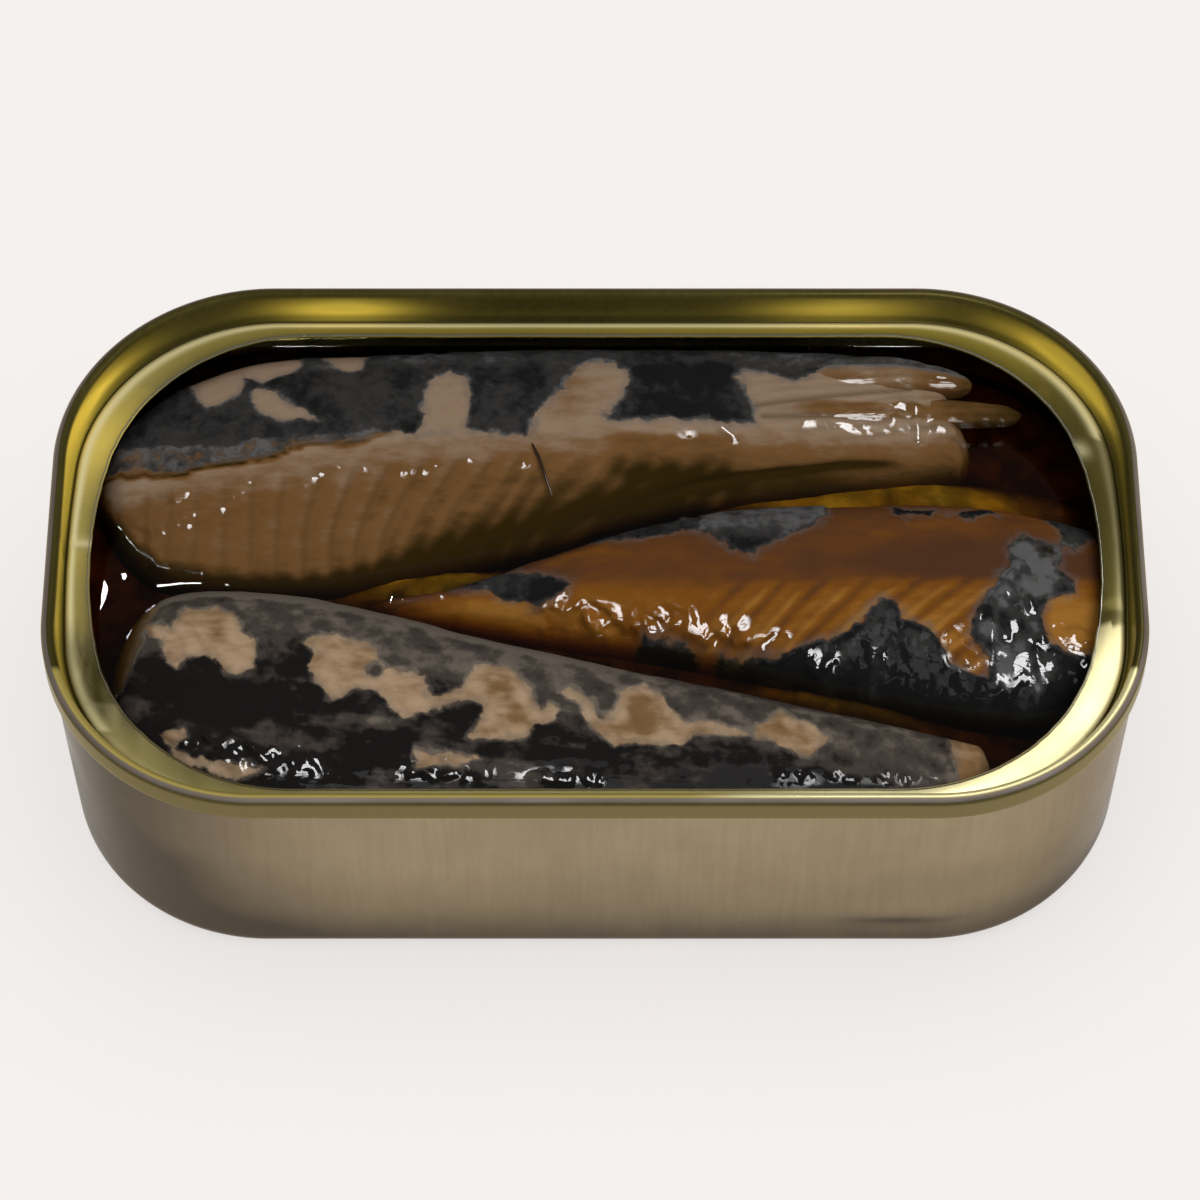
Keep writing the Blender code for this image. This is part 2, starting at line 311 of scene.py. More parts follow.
ring_points, crown_rows, ledge_row = ring_grid()
ring_x, ring_y = ring_points[..., 0].copy(), ring_points[..., 1].copy()
row_number = np.arange(len(ring_points))[:, None] + 0 * ring_x
past_crown, past_groove = row_number - crown_rows, row_number - ledge_row
ledge_rows = len(ring_points) - ledge_row
on_ledge = step(past_groove, -3, 0)
tear = step(past_groove, ledge_rows - 4, ledge_rows - 1)
ring_points[..., 2] += 0.02 * on_ledge * noise(ring_x, ring_y, 7.0, 5)
ring_points[..., :2] *= 1 + (0.0012 * tear * noise(ring_x * 3, ring_y * 3, 2.3, 7))[..., None]
# A small crease crosses the ledge at the left, where the tearing of the lid began, and a notch at the right.
ring_points[..., 2] += 0.22 * on_ledge * bell(ring_y, 0.4, 0.45) * (ring_x < -45)
ring_points[..., 2] -= 0.07 * on_ledge * bell(ring_y, -6.2, 0.6) * (ring_x > 45)
ring = surface("seam_ring", ring_points)
thicken(ring, rim=2)
print("ring:", len(ring.data.polygons), "faces")

# %% [markdown]
# The ring's colour isn't even. Four marks say where it changes: `worn` is the rubbed outer part of the
# crown,
# `outer` the side below it, one mark paints golden reflections on the lacquer and one paints pale
# highlights. The chuck wall has painted golden reflections at its ends and in two patches at the back. The
# ledge has a painted highlight along its groove.

# %% Marks on the ring
crown_worn = plateau(past_crown, -15.5, -13.5, -11.5, -10)
crown_inner = plateau(past_crown, -11.5, -10, -4, -1) * (ring_y < -15)
far_left, far_right = step(-ring_x, 38, 46), step(ring_x, 40, 47)
# Painted golden reflections of the room: on the chuck wall at its ends and in two patches at the back, and
# on the inner side of the crown.
back_gold_reflection = (0.8 * bell(ring_x, -25, 6) + 0.42 * bell(ring_x, 24, 7)) * (ring_y > 18)
left_gold_reflection = far_left * (1.9 * bell(ring_y, 9, 9) + 0.6 * (ring_y < 0))
right_gold_reflection = 1.2 * step(ring_x, 34, 40) * bell(ring_y, 20.5, 4.6) + 0.2 * far_right
on_chuck = plateau(past_crown, -5, 0, 9, 12) * (0.6 + bell(past_crown, 3, 2.6))
painted_gold_reflection = on_chuck * (back_gold_reflection + left_gold_reflection + right_gold_reflection) + 0.4 * crown_inner

inner_ledge = step(past_groove, 2, ledge_rows - 3)
toward_left = step(-ring_x, 20, 38)
low_left = step(-ring_x, 30, 38) * step(-ring_y, 6, 11) * (1 - 0.5 * step(-ring_y, 17, 22))
away = 1 - 0.9 * far_right * (ring_y > -12) - 0.85 * low_left
shade = 0.5 + 0.5 * rough_noise(ring_x, ring_y, 8.0, 6)
brush = rough_noise(ring_x, ring_y * 0.2, 0.9, 9)
# Painted golden reflections on the ledge, fainter at the right and at the lower left.
ledge_gold_reflection = 0.1 + 0.06 * far_left + 0.16 * (1 - inner_ledge) + 0.6 * far_left * bell(ring_y, 13, 4.5)
ledge_gold_reflection += (0.2 - 0.17 * (ring_y > 20)) * shade
painted_gold_reflection += on_ledge * (0.85 * away * ledge_gold_reflection + 0.12 * low_left * np.clip(brush, 0, 1))
painted_gold_reflection -= 0.05 * on_ledge * toward_left * (ring_y < 6)

# Painted highlights: a pale line along the groove, the crease, a line at the upper right, the lower right
# corner, the front and the left of the ledge, and the crown's inner side.
groove_highlight = 0.85 - 0.5 * (ring_y < -20) - 0.65 * far_right * (ring_y < 14) - 0.4 * low_left
crease_highlight = 0.7 * on_ledge * bell(ring_y, 1.4, 0.5) * (ring_x < -45)
upper_right_highlight = 0.5 * bell(ring_y, 12.5, 0.9) * (ring_x > 40) * inner_ledge
corner_highlight = 0.9 * step(ring_x - 1.6 * ring_y, 52, 72) * (ring_y < -8)
front_ledge_highlight = 0.1 * (-ring_y > 17) + 0.2 * (ring_y < -20) * step(ring_x, -34, -20)
left_highlight = 0.07 * far_left * (1 - low_left) + 0.055 * toward_left + 0.16 * low_left * brush
pale = on_ledge * (left_highlight + front_ledge_highlight + crease_highlight + upper_right_highlight + corner_highlight)
pale += bell(past_groove, 0, 1.7) * groove_highlight + crown_inner * (0.15 + 0.75 * step(ring_x, 8, 16))

mark(ring, "worn", crown_worn * (0.75 + 0.25 * rough_noise(ring_x, ring_y, 6.0, 8)))
mark(ring, "outer", fall(past_crown, -18.5, -17))
# These two marks carry the painted golden reflections and the painted highlights.
mark(ring, "painted_gold_reflection", np.clip(painted_gold_reflection, 0, 1))
mark(ring, "painted_highlight", np.clip(pale, 0, 1))
print(f"ring: {100 * (painted_gold_reflection > 0.3).mean():.0f}% golden, {100 * (pale > 0.3).mean():.0f}% pale")

# %% [markdown]
# ## The fish
#
# Each piece lies along the tin. Its section is a dome above a waist and a deeper, squarer belly below it,
# and its outline, its crest and its ends come from short lists of points, the same as in the solids.
# `smooth_line` joins such points by cubic pieces whose slopes match. A subdivision cage could give the same
# trunk, but the formula also says where every point of it is, and the torn skin and the muscle need exactly
# that.

# %% The trunk of a fish
FISH_WAIST, FLOOR_CLEARANCE = 0.68, 2.0
DOME_ROUNDNESS, BELLY_ROUNDNESS = 2.5, 3.0
DOME_REACH, DOME_SHARE = 0.25, 0.78


def smooth_line(points, x):
    """A curve through (x, value) points: cubics whose slope at a point is that of the line past it."""
    px, py = np.array(points, float).T
    before, after = np.maximum(np.arange(len(px)) - 1, 0), np.minimum(np.arange(len(px)) + 1, len(px) - 1)
    slope = (py[after] - py[before]) / (px[after] - px[before])
    x = np.clip(x, px[0], px[-1])
    k = np.clip(np.searchsorted(px, x) - 1, 0, len(px) - 2)
    span = px[k + 1] - px[k]
    t = (x - px[k]) / span
    start = (1 + 2 * t) * (1 - t) ** 2 * py[k] + t * (1 - t) ** 2 * span * slope[k]
    return start + t * t * (3 - 2 * t) * py[k + 1] - t * t * (1 - t) * span * slope[k + 1]


def signed_power(value, exponent):
    return np.sign(value) * np.abs(value) ** exponent


def fish_stations(shape, count, end_count):
    """x and size of each ring: even steps in the middle, and at the ends the quarter of an ellipse."""
    left, right = shape["back"][0][0], shape["back"][-1][0]
    left_end, right_end = shape["ends"]
    turn = np.linspace(0, np.pi / 2, end_count + 1)[1:]
    middle = np.linspace(left + left_end, right - right_end, count)[1:-1]
    left_x, right_x = left + left_end * (1 - np.cos(turn)), right - right_end * (1 - np.cos(turn))
    x = np.concatenate([left_x, middle, right_x[::-1]])
    size = np.concatenate([np.sin(turn), 0 * middle + 1, np.sin(turn)[::-1]])
    return x, size


def fish_angles(count):
    """Angles round a section: most of them on the dome, which shows, and the rest on the belly."""
    dome_end = np.pi + DOME_REACH
    dome = np.linspace(-DOME_REACH, dome_end, int(DOME_SHARE * count), endpoint=False)
    belly = np.linspace(dome_end, 2 * np.pi - DOME_REACH, count - len(dome), endpoint=False)
    return np.concatenate([dome, belly])


def fish_grid(shape, count=430, end_count=26, columns=190):
    """Points of a trunk: a superellipse at each station, with its crest leaning towards the back."""
    x, size = fish_stations(shape, count, end_count)
    back, front, top = (smooth_line(shape[key], x)[:, None] for key in ("back", "front", "top"))
    bottom = shape.get("bottom", FLOOR_CLEARANCE)
    waist = bottom + FISH_WAIST * (top - bottom)
    angle = fish_angles(columns)[None, :]
    across, up = np.cos(angle), np.sin(angle)
    above = up > 0
    exponent = np.where(above, 2 / DOME_ROUNDNESS, 2 / BELLY_ROUNDNESS)
    half_width = (back - front) / 2
    lean = np.where(above, shape["lean"] * half_width * up**2, 0)
    size = size[:, None]
    y = (back + front) / 2 + size * (half_width * signed_power(across, exponent) + lean)
    z = waist + size * np.where(above, top - waist, waist - bottom) * signed_power(up, exponent)
    grid = np.stack([x[:, None] + 0 * y, y, z], -1)
    tips = [(shape["back"][k][0], float((back + front)[k, 0] / 2), float(waist[k, 0])) for k in (0, -1)]
    return grid, tips


def normals(grid):
    """Unit normals: the cross product of the grid's slopes along the fish and round it."""
    along = np.gradient(grid, axis=0)
    round_it = np.roll(grid, -1, 1) - np.roll(grid, 1, 1)
    normal = np.cross(along, round_it)
    return -normal / np.maximum(np.linalg.norm(normal, axis=-1, keepdims=True), 1e-9)


BACK = {
    "back": [(-49.5, 14.5), (-44, 21.5), (-36, 26), (-26, 27.6), (24, 27.4), (32, 25), (37, 20)],
    "front": [
        (-49.5, 9.6), (-47, 6.0), (-44, 2.6), (-40, 0.8), (-33, 0), (-24, 0.3), (-9, 3.9), (8, 9.5),
        (25, 12), (37, 13),
    ],
    "top": [(-49.5, 21.5), (-42, 23.2), (-25, 24.2), (20, 24.2), (37, 22.6)],
    "lean": 0.22,
    "ends": (3.6, 3.0),
}
MIDDLE = {
    "back": [(-23, -0.6), (-14, 0.2), (-3, 4.4), (9, 8), (23, 9.3), (38, 9.5), (50.3, 6.5)],
    "front": [
        (-23, -2), (-14, -3.2), (-3, -5.4), (9, -7.4), (20, -10.7), (30, -13.3), (42, -15), (50.3, -13),
    ],
    "top": [(-23, 18.6), (-14, 20.6), (0, 23), (15, 24.2), (40, 24.2), (50.3, 23)],
    "lean": 0.1,
    "ends": (4.0, 2.5),
}
FRONT = {
    "back": [(-46.5, -5), (-41, -0.9), (-32, -0.6), (-24, -2.1), (-9, -6.4), (10, -11.4), (37.5, -18.2)],
    "front": [(-46.5, -17), (-41, -22.6), (-34, -26.6), (-26, -27.6), (28, -27.6), (37.5, -25)],
    "top": [(-46.5, 22.2), (-38, 24), (-20, 24.3), (20, 23.8), (37.5, 22)],
    "lean": 0.12,
    "ends": (3.5, 1.6),
}
print("a fish grid has", fish_grid(BACK)[0].shape[:2], "points")

# %% [markdown]
# Everything on a fish is drawn by a few shapes. A blot is an ellipse, an outline has straight sides and
# listed corners, a route is a chain of straight stretches and a bead is a small round drop. Each is a
# formula that says how near a point lies. They could be painted by hand or drawn as an image, but a formula
# stays sharp at any size. `frayed` pushes the points about a little before they are asked, which frays every
# edge.

# %% Shapes drawn on the fish
def blot(x, y, centre_x, centre_y, half_x, half_y, tilt=0.0):
    """How many mm (x, y) lies inside the edge of an ellipse turned by tilt degrees, negative outside."""
    turn = math.radians(tilt)
    along = (x - centre_x) * math.cos(turn) + (y - centre_y) * math.sin(turn)
    across = (y - centre_y) * math.cos(turn) - (x - centre_x) * math.sin(turn)
    reach = np.sqrt((along / half_x) ** 2 + (across / half_y) ** 2)
    return (1 - reach) * min(half_x, half_y)


def blots(x, y, shapes):
    """The union of several blots: at each point the deepest of them."""
    return np.max([blot(x, y, *shape) for shape in shapes], axis=0)


def from_sides(x, y, start, side):
    """The squared distance from each point to the nearest side, and the way to it from each side's start."""
    to_x, to_y = x[..., None] - start[:, 0], y[..., None] - start[:, 1]
    t = np.clip((to_x * side[:, 0] + to_y * side[:, 1]) / (side**2).sum(1), 0, 1)
    square = ((to_x - t * side[:, 0]) ** 2 + (to_y - t * side[:, 1]) ** 2).min(-1)
    return square, to_x, to_y


def outline_depth(x, y, corners):
    """How many mm (x, y) lies inside an outline of straight sides, negative outside.

    A point is inside when a line to the right crosses the sides an odd number of times.
    """
    start = np.array(corners, float)
    side = np.roll(start, -1, 0) - start
    square, to_x, to_y = from_sides(x, y, start, side)
    between = (to_y < 0) != (to_y < side[:, 1])
    rise = np.where(side[:, 1] == 0, 1e-9, side[:, 1])
    left_of = to_x < side[:, 0] * to_y / rise
    inside = ((between & left_of).sum(-1) % 2) == 1
    return np.where(inside, np.sqrt(square), -np.sqrt(square))


def deepest(x, y, outlines):
    """The union of several outlines."""
    return np.max([outline_depth(x, y, corners) for corners in outlines], axis=0)


def route_bumps(x, y, routes, half_width):
    """1 on any of the routes of straight stretches, falling like a bell with the distance from it."""
    ends = [(np.array(route[:-1], float), np.array(route[1:], float)) for route in routes]
    squares = [from_sides(x, y, start, end - start)[0] for start, end in ends]
    return np.exp(-np.min(squares, axis=0) / half_width**2)


def bead_bump(x, y, beads):
    """1 in the middle of each small drop, falling like a bell. A bead is (x, y, radius)."""
    bumps = [np.exp(-((x - at_x) ** 2 + 1.6 * (y - at_y) ** 2) / size**2) for at_x, at_y, size in beads]
    return np.max(bumps, axis=0)


def scattered_beads(spans, seed, grow=1.0):
    """Drops spread at random along lines. A span is (start x, y, end x, y, spread, number)."""
    dice = np.random.default_rng(seed)
    beads = []
    for start_x, start_y, end_x, end_y, spread, count in spans:
        t = dice.uniform(0, 1, count)
        away = dice.uniform(-spread, spread, count)
        size = grow * dice.uniform(0.32, 0.56, count)
        beads += zip(start_x + t * (end_x - start_x), start_y + t * (end_y - start_y) + away, size)
    return beads


def frayed(x, y, seed, reach):
    """The same places pushed about by coarse and fine noise."""
    push = [noise(x, y, 2.2, seed + k) + 0.6 * noise(x, y, 0.8, seed + k + 1) for k in (0, 2)]
    return x + reach * push[0], y + reach * push[1]


def strokes(x, y, seed):
    """Soft slanting ridges, the way thick oil runs down a piece: noise stretched along a slant."""
    along, across = 0.86 * x - 0.51 * y, 0.51 * x + 0.86 * y
    return noise(along * 0.42, across, 1.15, seed) + 0.3 * noise(along * 0.7, across, 0.6, seed + 1)


def flake_seam(phase, sharpness=3):
    """1 in the seam between two flakes and 0 on them: a power of a cosine of the phase."""
    return np.clip(0.5 + 0.5 * np.cos(2 * np.pi * phase), 0, 1) ** sharpness


two_mm_square = [(-1, -1), (1, -1), (1, 1), (-1, 1)]
print("in a 2 mm square the middle is this deep:", outline_depth(np.zeros(1), np.zeros(1), two_mm_square))

# %% [markdown]
# Mackerel skin is thin, dark and slippery, and in a tin it tears off in ragged patches. So each piece
# carries a few numbers at every point. `skin` is the distance inside the skin's torn edge, in mm, negative
# on bare flesh. `tone` says how light the skin is, and `flesh` how dark the flesh is, painted shade included
# on the back piece. A fourth number marks the seams between flakes of muscle, and on the back piece also
# painted shadow in gaps and along a fold. `ruffle` is where strokes of thick oil lie, `lift` is relief in
# mm, and `wet` is where the oil shines: on strokes, on drips and on small round drops.

# %% Relief that every fish shares
SKIN_THICKNESS = 0.1
SEGMENT_DEPTH = 0.03
SWELLING, WRINKLE, STROKE_HEIGHT = 0.2, 0.04, 0.34


def dress_fish(name, shape, node, fields, seed, fine=1.0, grit=0.02):
    """A fish surface with its relief: skin above the flesh, seams, swellings and fine wrinkles.

    The strokes of oil are finer and lower when fine is above 1, and grit is the height of the bumps on them.
    Noise breaks up the shine, because a wet surface is never evenly wet.
    """
    grid, tips = fish_grid(shape)
    x, y = grid[..., 0], grid[..., 1]
    skin, tone, flesh, segment, ruffle, wet, lift = fields(x, y, grid[..., 2])
    relief = SWELLING * rough_noise(x, y, 9.0, seed) + lift + SKIN_THICKNESS * step(skin, -0.1, 0.3)
    relief += WRINKLE * rough_noise(x * 0.7, y, 1.5, seed + 5) - SEGMENT_DEPTH * segment * (skin < 0)
    relief += STROKE_HEIGHT / fine * np.clip(ruffle, 0, 1.2) * strokes(x * fine, y * fine, seed + 9)
    relief += grit * np.clip(ruffle, 0, 1) * rough_noise(x, y, 0.95, seed + 10, octaves=2)
    wet = wet * (0.04 + 0.96 * step(rough_noise(x, y, 1.5 / fine, seed + 12, octaves=2), -0.34, -0.06))
    in_sight = step(grid[..., 2], OIL_LEVEL - 9, OIL_LEVEL - 4)
    grid = grid + normals(grid) * (relief * in_sight)[..., None]
    piece = surface(name, grid, first_pole=tips[0], last_pole=tips[1])
    mark_trunk(piece, skin=skin, tone=tone, flesh=flesh, segment=segment, wet=wet)
    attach(piece, BODY)
    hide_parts(node)
    print(f"{name}: {len(piece.data.polygons)} faces, {100 * (skin > 0).mean():.0f}% of it under skin")
    return piece, grid


# %% [markdown]
# The back piece keeps its skin above a ridge that runs along it. At the left the skin thins out downward
# into a broken film, under a fine dark line. Below the ridge the flesh lies open, in upright flakes that
# lean over towards the tail, and is painted darker as shade. At the right a long thin groove runs along it,
# with a painted shadow along and below it.

# %% The back piece
BACK_SKIN = [
    (-52, 30), (-52, 15.5), (-46, 14.4), (-40, 14.2), (-36, 14.2), (-30, 14.9), (-26, 15.0), (-20, 15.5),
    (-17, 15.6), (-13, 15.8), (-10, 15.6), (-7, 14.9), (1.2, 16.9), (8, 17.2), (13, 17.0), (15.8, 17.0),
    (15.5, 18.6), (15, 20), (13.8, 22.2), (15, 22.9), (17.4, 22.3), (19.6, 22.0), (22.6, 23.3), (26, 24.2),
    (31.5, 25.6), (38, 30),
]
BACK_BARE = [
    [(-40.2, 27), (-39.8, 22), (-39.2, 19.6), (-38.2, 18.7), (-36.8, 19.2), (-34.9, 20.6), (-34.6, 22.8),
     (-32.6, 22.2), (-30.2, 23), (-29, 24.6), (-29, 27)],
    [(-26.9, 27), (-26.8, 25.0), (-25.6, 23.7), (-24.4, 23.3), (-22.9, 23.7), (-22.4, 27)],
    [(-33.8, 20.4), (-33, 21.4), (-31.4, 20.6), (-29.8, 19.2), (-28.2, 17.9), (-26.6, 17.2), (-30.4, 16.8),
     (-32.6, 17.9), (-33.7, 19)],
    [(-17.2, 18.6), (-16.6, 20.8), (-15.6, 22.8), (-14.2, 23.1), (-12.9, 22.4), (-12.3, 20.6),
     (-12.4, 18.2), (-12.8, 15), (-17.8, 15), (-16.9, 17.4)],
    [(-7.2, 14), (-6.6, 16), (-5.2, 19), (-3.6, 20.6), (-1.6, 23.4), (0, 24.4), (2, 24.1), (3.4, 22.8),
     (3.4, 21), (2.4, 19.4), (1.3, 17.6), (1.2, 14)],
]
BACK_EDGE = [
    (-49, 12.6), (-43, 11.4), (-38, 12.0), (-34, 12.4), (-31, 12.9), (-29, 14), (-23, 14.6), (-19.6, 15.2),
]
FOLD = [(1, 8.4), (6, 10.2), (10, 11.4), (15, 12.4), (20, 13.1), (26, 13.9), (31.7, 14.2)]
FLAKE_GAPS = [[(15.8, 18.9), (20, 19.6), (26, 20.6), (31, 21.5)], [(16.4, 17.7), (20, 17.8), (28.6, 17.9)]]
BACK_DRIPS = [
    [(30.0, 19.6), (31.5, 18.9), (31.7, 16.2)], [(12.2, 16.5), (13.6, 15.4)], [(33.6, 17.3), (35.2, 17.2)],
    [(-45.3, 5.6), (-44.2, 4.4)], [(-42.4, 3.0), (-41.0, 2.2)], [(20.5, 17.1), (22.5, 17.3)],
    [(35.6, 14.0), (35.9, 15.4)],
]
BACK_BEADS = [
    (-27.6, 10.4), (-26.9, 10.9), (-18.9, 11.1), (-17.9, 11.4), (-16.8, 11.3), (-35.3, 8.7), (-34.6, 9.1),
    (-42.2, 5.5), (-41.4, 6.0), (-40.6, 6.1), (-39.9, 6.8), (-39.2, 7.0), (-39.7, 5.9), (-43.1, 4.3),
    (-7.0, 12.2), (-28.3, 9.7), (-33.9, 10.2), (-36.4, 7.4), (-22.6, 11.6), (-12.4, 12.6),
]
BACK_RUFFLES = [
    (31.5, 18.6, 3.6, 2.2, 0), (-41.4, 8.8, 3.4, 1.5, 12), (-36.4, 10.4, 2.0, 0.9, 8),
    (-31.4, 11.2, 1.6, 0.7, 6), (-25.2, 11.9, 2.4, 0.7, 4), (-44.6, 5.2, 1.5, 1.6, 40),
    (-41.4, 2.6, 2.2, 0.9, -20), (26, 16.9, 4.0, 0.8, 0), (-15, 11.6, 1.2, 0.6, 4), (9, 15.6, 1.2, 0.5, 4),
    (-16, 26.8, 3, 1.0, 0), (14, 25.4, 3, 0.8, 0),
]
WET_GRIT = 0.13
BACK_RIDGE = [(-52, 11.5), (-30, 13), (-12, 15), (10, 15.5), (40, 16)]
FLAKE_LENGTH, BEAD_RADIUS = 2.75, 0.45


def back_fields(x, y, z):
    """Skin, tone, flesh, segment, ruffle, wet and lift of the back piece."""
    near_x, near_y = frayed(x, y, 21, 0.32)
    left = fall(x, -32, -8)
    skin = np.minimum(outline_depth(near_x, near_y, BACK_SKIN), -deepest(near_x, near_y, BACK_BARE))
    # The broken film of skin at the left, below the upper edge of its band.
    band_depth = 1.2 * (near_y - smooth_line(BACK_EDGE, x)) * fall(x, -21, -18) - 4 * step(x, -20, -17)
    band = step(band_depth, -0.3, 0.5) * fall(y, 16, 17) * fall(x, -22, -17)
    film = np.maximum(skin, 0.02 + 0.08 * rough_noise(x * 0.5, y, 1.4, 33))
    skin = skin * (1 - band) + film * band
    # The skin is paler along the back edge, and darker right of the middle, with a pale lower edge there.
    tone = 0.38 + 0.34 * rough_noise(x, y, 3.2, 23, octaves=3)
    tone += 0.12 * rough_noise(x * 0.4, y, 1.4, 26, octaves=2)
    tone += 0.25 * step(y, 22.5, 25) + 0.04 * band - 0.2 * plateau(x, 1, 3, 12, 15)
    tone += 0.5 * bell(y, 16.4, 0.8) * plateau(x, 1.5, 4, 11, 13)
    # Below the ridge the flesh is painted darker, as shade, most of all in the strip just above the oil's
    # level: partly the colour of flesh that oil has soaked, partly painted shade.
    drop = smooth_line(BACK_RIDGE, x) - y
    above_oil = z - OIL_LEVEL - 0.3 * rough_noise(x * 0.5, y, 3.0, 29)
    soaked_and_shaded = fall(above_oil, 0.4 - 1.1 * left, 2.6 + step(x, -30, -5) - 1.3 * left)
    flesh = 0.04 + 0.2 * step(drop, -1.0, 0.5) + 0.26 * step(drop, 0.5, 5.5)
    flesh += 0.6 * soaked_and_shaded * (1 - 0.85 * step(x, 4, 14))
    flesh += 0.75 * bell(band_depth, -0.2, 0.3) * fall(x, -24, -18) + 0.7 * band
    flesh -= 0.34 * fall(above_oil, 0.3, 1.6) * bell(x, -2, 11) + 0.1 * step(-x, 26, 38) * fall(drop, 1.5, 5)
    flesh += 0.24 * bell(x, -3, 2.6) * step(y, 16.5, 18) + 0.06 * rough_noise(x * 0.6, y, 3.5, 24)
    flesh += 0.16 * step(x, -30, 0) * step(drop, 1, 4) + 0.15 * step(x, 30, 36)
    flesh -= 0.1 * step(-x, 38, 46) * fall(drop, 2, 5)
    # The flakes lie open on the left two thirds: upright at the left end, and leaning further right.
    slant = 0.1 + 0.75 * step(x, -32, -4)
    phase = (x - slant * (y - 8) + 0.7 * noise(x, y, 5.0, 25)) / FLAKE_LENGTH
    open_flesh = step(drop, 1.0, 3.5) * fall(x, 12, 17)
    flesh += 0.08 * np.cos(2 * np.pi * (phase - 0.3)) * open_flesh * (1 - 0.6 * step(-x, 24, 36))
    seams = 0.6 * flake_seam(phase, 5) * open_flesh * (1 - 0.4 * step(-x, 24, 36))
    # The right third: gaps between loose flakes with painted shade in them, the fold with a painted shadow,
    # and fibres along the fish.
    gaps = route_bumps(x, y, FLAKE_GAPS, 0.28)
    fold = route_bumps(x, y, [FOLD], 0.3) * plateau(x, 2, 10, 26, 32) * (0.7 + 0.5 * noise(x, y, 3.0, 28))
    fibre = flake_seam((y - 0.12 * x + 0.5 * noise(x, y, 5.0, 27)) / 1.1, 2)
    fibre = 0.5 * fibre * step(x, 15, 19) * step(y, 15, 17)
    # The gaps and the fold darken the flesh like seams: painted shade and painted shadow.
    segment = np.max([seams, 1.2 * gaps, 1.6 * fold, fibre], axis=0)
    below_fold = smooth_line(FOLD, x) - y
    # Painted shadow below the fold and along it, and painted shade below the ridge and in the gap between
    # the loose flakes.
    flesh += 0.12 * step(x, 0, 6) * step(below_fold, -0.4, 0.8)
    flesh += 0.16 * step(x, 8, 20) * step(drop, -0.2, 1.6)
    flesh += 0.5 * bell(below_fold, 0.1, 0.3) * plateau(x, 4, 10, 27, 31)
    flesh += 0.34 * plateau(x, 0, 3, 12, 16) * plateau(y, 10.5, 12, 15.0, 16.2)
    flesh += 0.4 * step(x, 18, 22) * plateau(y, 17.7, 18.3, 19.2, 19.9)
    ruffle = (0.9 + 0.4 * left) * np.clip(blots(x, y, BACK_RUFFLES), 0, 1)
    drips = route_bumps(x, y, BACK_DRIPS, 0.5)
    beads = bead_bump(x, y, [(*place, BEAD_RADIUS) for place in BACK_BEADS])
    lift = 0.3 * drips + 0.2 * beads - 0.25 * gaps - 0.22 * fold
    wet = np.max([step(ruffle, 0.0, 0.3), step(drips, 0.1, 0.5), step(beads, 0.03, 0.2)], axis=0)
    return skin, tone, flesh, segment, ruffle, wet, lift


back_piece, back_grid = dress_fish(
    "back_mackerel", BACK, "fillet_back", back_fields, 31, fine=1.3, grit=WET_GRIT
)

# %% [markdown]
# The middle piece lies with its flesh up. Torn remains of its skin stick to it: a pointed flap at the top
# edge, a crumpled silvery sheet at its right end and a dark sheet along its lower edge.

# %% The middle piece
MIDDLE_SKIN = {
    "strip": [(-9, 4.2), (-5, 4.9), (-3, 4.8), (0, 3.7), (4, 4.0), (9.8, 4.7), (9.8, 20), (-12, 20)],
    "flap": [
        (9.9, 12), (9.8, 4.2), (12, 3.0), (14.2, 1.2), (15, 1.1), (17.5, 2.8), (20.2, 4.2), (22.3, 6),
        (22.4, 7), (22.2, 12),
    ],
    "scrap": [
        (-14, -0.4), (-12, 1.2), (-8, 0.7), (-5, -0.1), (-2.4, -1.2), (-3.4, -2.4), (-5, -3.2),
        (-7.4, -2.4), (-10, -1.3),
    ],
    "tab": [(4.7, -6.0), (7, -6.3), (9.4, -7.1), (10.2, -7.9), (9.6, -8.9), (4.5, -9), (3.6, -7.4)],
    "sheet": [
        (12.3, -7.9), (14, -8.1), (17, -8.5), (20, -8.4), (22, -7.9), (24, -7.2), (25.4, -6.2),
        (26.6, -5.2), (27.8, -4.1), (28.6, -4.3), (29.8, -6.6), (31.5, -7), (32.8, -8.2), (33.4, -10.4),
        (37, -11.8), (37.3, -9.8), (35.8, -7.6), (35.8, -6), (37.2, -4.4), (38.4, -1.6), (39.8, 0),
        (40.1, 2), (41.2, 3.5), (42.8, 3), (44.8, 2.4), (44.9, 0.8), (43.8, -0.4), (46, -1.3), (46.0, -2.8),
        (43.2, -4.2), (42.6, -6), (43.2, -8.6), (46, -9.3), (52, -9.4), (52, -20), (10, -20), (-4, -12),
        (-2, -8.4), (3, -8.6), (9, -9.2), (11.5, -8.9),
    ],
    "corner": [
        (44.2, 9.6), (44.3, 6.4), (45.3, 3.8), (44.8, 2.7), (46.4, 2.5), (48.4, 4.4), (52, 5), (52, 12),
        (46, 12),
    ],
    "specks": [
        (29, 7.6), (29.2, 6.2), (31, 5.6), (33, 5.8), (33.2, 6.6), (37.4, 6.0), (38.6, 6.6), (36, 7.4),
        (32, 7.4),
    ],
}
CRUMPLED = [
    (35.6, -7), (36.8, -4.8), (38.4, -1.6), (39.8, 0.4), (40.2, 2.4), (41.4, 3.7), (45, 2.6), (45, 0.4),
    (43.8, -0.6), (46.4, -1.4), (46, -3), (43, -4.4), (42.4, -6.4), (43, -9), (44.6, -10.6), (43.4, -12),
    (42.2, -14), (40.8, -12.2), (39.2, -13.6), (37.6, -12), (36.8, -10),
]
